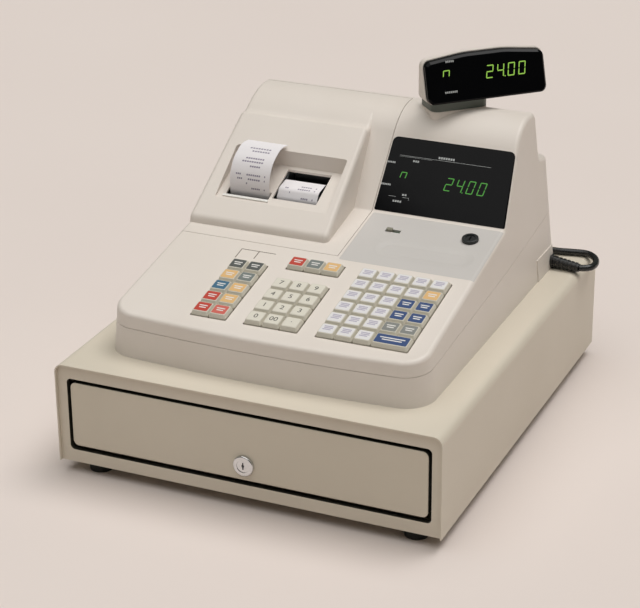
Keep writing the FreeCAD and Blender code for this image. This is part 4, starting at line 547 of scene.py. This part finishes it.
# The neck's dark olive grey is painted shade: the head's shadow laid on a pale neck.
dress(moulded("moulded ABS, olive grey painted shade", "#5C645B", "#525A52", 0.9, 0.38), "customer_display_neck")
figures = lit("24.00", -1.2, -3, 7.8, 13.5, 1.1, 9, 12.0) + lit("n", -49.4, -3.2, 7.4, 13.5, 1.0, 9, 12)
raised("customer_figures", [(shape, -0.1, 0.06, 0) for shape in figures], on_face, "display",
       [glowing("phosphor, customer's side", "#B9E468", "#86C83E", 0.8)])
raised("customer_marks", [(shape, -0.1, 0.06, 0) for shape in
                          word(-43.7, -34.2, 17.8, 19.8, 5) + word(-47.6, -33.4, -13.2, -11.2, 7)],
       on_face, "display", [pane_ink])

# Printer and paper
# A stamped frame with a moulded print head and feed roller under the lift-off cover. Bond paper from two rolls
# comes up through the receipt slot and over the journal plate, with rows of dots of print on it.
paper, place = blank("bond paper")
fibre = node(paper, "ShaderNodeTexNoise", {}, {"Scale": 1 / (0.8 * mm), "Detail": 4.0},
             {"Vector": (place, "Object")})
tint = node(paper, "ShaderNodeMix", {"data_type": "RGBA"}, {6: linear("#F1EDEE"), 7: linear("#E6E1E4")},
            {0: (fibre, 0)})
tooth = node(paper, "ShaderNodeBump", {}, {"Strength": 0.1, "Distance": 0.02 * mm}, {"Height": (fibre, 0)})
pulp = node(paper, "ShaderNodeBsdfPrincipled", {}, {"Roughness": 0.75},
            {"Base Color": (tint, 2), "Normal": (tooth, 0)})
node(paper, "ShaderNodeOutputMaterial", {}, {}, {"Surface": (pulp, 0)})
dress(paper, "receipt_paper", "journal_paper", "receipt_roll", "journal_roll")


def up_the_strip(name, x, eye_y, eye_z, first, last):
    """Places on a paper strip, so far across and up it, found by looking at it from a point in front."""
    sheet = nodes[name]
    inward = sheet.matrix_world.inverted()
    eye, track = Vector((x, eye_y, eye_z)) * mm, []
    for i in range(61):
        pitch = math.radians(first + (last - first) * i / 60)
        sight = inward.to_3x3() @ Vector((0, math.cos(pitch), math.sin(pitch)))
        seen, spot, facing, _ = sheet.ray_cast(inward @ eye, sight)
        if seen:
            track.append((sheet.matrix_world @ spot, (sheet.matrix_world.to_3x3() @ facing).normalized()))

    def place(u, v, height):
        """Place on the strip: across from its middle, up from its foot and above its face."""
        left = v * mm
        for (a, n), (b, _) in zip(track, track[1:]):
            run = (b - a).length
            if left <= run or b is track[-1][0]:
                return a + (b - a) * (left / run) + n * height * mm + Vector((u * mm, 0, 0))
            left -= run

    return place


def printed_rows(table):
    """Bars of print on a strip: each row is its height and its words, from and to and of how many parts."""
    return [(shape, 0.02, 0.06, 0) for v, words in table for x0, x1, count in words
            for shape in word(x0, x1, v, v + print_height, count)]


till_print, print_height = printed("dot matrix print", "#8C8296", 0.6, 0.0), 1.7
case_top, receipt_x, journal_x = 118, -106, -56.5
receipt_face = up_the_strip("receipt_paper", receipt_x, -30, case_top + 190, -63, -29)
raised("receipt_print", printed_rows((
    (3, ((2, 12, 5), (16, 17.5, 1))), (8, ((-4, -2, 1),)),
    (12.5, ((-14, -8, 3), (-2, 12, 6), (16, 17.5, 1))), (17, ((-16, -10, 3), (-4, 12, 7), (16, 17.5, 1))),
    (26, ((-2, 10, 5),)), (31, ((-12, 12, 9),)), (35, ((-9, 12, 8),)), (45, ((-6, 14, 7),)),
    (49.5, ((-10, 14, 8),)))), receipt_face, "cover", [till_print])
journal_face = up_the_strip("journal_paper", journal_x, 0, case_top + 150, -70, -41)
raised("journal_print", printed_rows((
    (5, ((-16, -13, 2), (-2, 12, 6), (16, 17.5, 1))), (10, ((4, 12, 4), (16, 17.5, 1))),
    (15, ((-10, -9, 1),)), (20, ((-16, -12, 2), (-2, 12, 6), (16, 17.5, 1))),
    (25, ((0, 12, 5), (16, 17.5, 1))))), journal_face, "case", [till_print])
floor_front, floor_back = Vector((0, 1.5, 214.1)), Vector((0, 57, 237.7))


def on_floor(x, s, height):
    """Place on the floor of the printer's window: across, up its slope and above it."""
    up = (floor_back - floor_front).normalized()
    return (floor_front + Vector((x, 0, 0)) + up * s + Vector((0, -up.z, up.y)) * height) * mm


# A bar along the foot of the receipt slot, to tear the paper against. It is coloured whiter than the case as a
# painted highlight on the slot's front edge.
raised("tear_bar", [(strip(-133, -82, 4.6, 7.4), -0.3, 1.1, 0)], on_floor, "cover",
       [moulded("moulded ABS, whiter as painted highlight", "#F1EEE9", "#EBE8E2", 0.9, 0.35)])
dress(zinc, "printer_frame")
dress(black_abs, "print_head", "feed_roller", "takeup_spool")

# Boards and display module
# Circuit boards of woven fibreglass under green lacquer, which gives them a shine, and the black glass tube
# of the operator's display, smooth behind its window.
dress(moulded("fibreglass board, green lacquer", "#2E5A3C", "#274C33", 0.6, 0.3), "circuit_boards")
dress(moulded("display module glass", "#0A0B0C", "#0E0F10", 5, 0.1), "operator_display")

# Counter, lamp and sky
# A pale seamless counter, a soft lamp high up behind the register's right shoulder, a broad tent of light
# above its front, and a little light from all round.
counter = bpy.data.objects.new("counter", bpy.data.meshes.new("counter"))
form = bmesh.new()
bmesh.ops.create_grid(form, x_segments=24, y_segments=24, size=9)
form.to_mesh(counter.data)
form.free()
bpy.context.scene.collection.objects.link(counter)
cloth, place = blank("seamless backdrop paper")
mottle = node(cloth, "ShaderNodeTexNoise", {}, {"Scale": 2.0, "Detail": 2.0}, {"Vector": (place, "Object")})
tint = node(cloth, "ShaderNodeMix", {"data_type": "RGBA"}, {6: linear("#E2D7D1"), 7: linear("#DED2CC")},
            {0: (mottle, 0)})
matt = node(cloth, "ShaderNodeBsdfPrincipled", {}, {"Roughness": 0.9, "Specular IOR Level": 0.1},
            {"Base Color": (tint, 2)})
node(cloth, "ShaderNodeOutputMaterial", {}, {}, {"Surface": (matt, 0)})
dress(cloth, counter)
def lamp(name, energy, spread, toward):
    """A far, soft lamp: how strong it is, how many degrees wide, and where it stands."""
    made = bpy.data.objects.new(name, bpy.data.lights.new(name, "SUN"))
    made.data.energy, made.data.angle, made.data.color = energy, math.radians(spread), (1.0, 0.985, 0.97)
    made.rotation_euler = Vector(toward).to_track_quat("Z", "Y").to_euler()
    bpy.context.scene.collection.objects.link(made)


lamp("lamp", 0.95, 30, (0.26, 0.28, 0.92))
lamp("tent", 1.9, 75, (0.03, -0.12, 1.0))
world = bpy.data.worlds.new("studio")
world.use_nodes = True
sky = world.node_tree.nodes["Background"].inputs
sky["Color"].default_value, sky["Strength"].default_value = (0.9, 1.0, 0.88, 1), 0.1
bpy.context.scene.world = world
bpy.context.scene.view_settings.view_transform = "Standard"
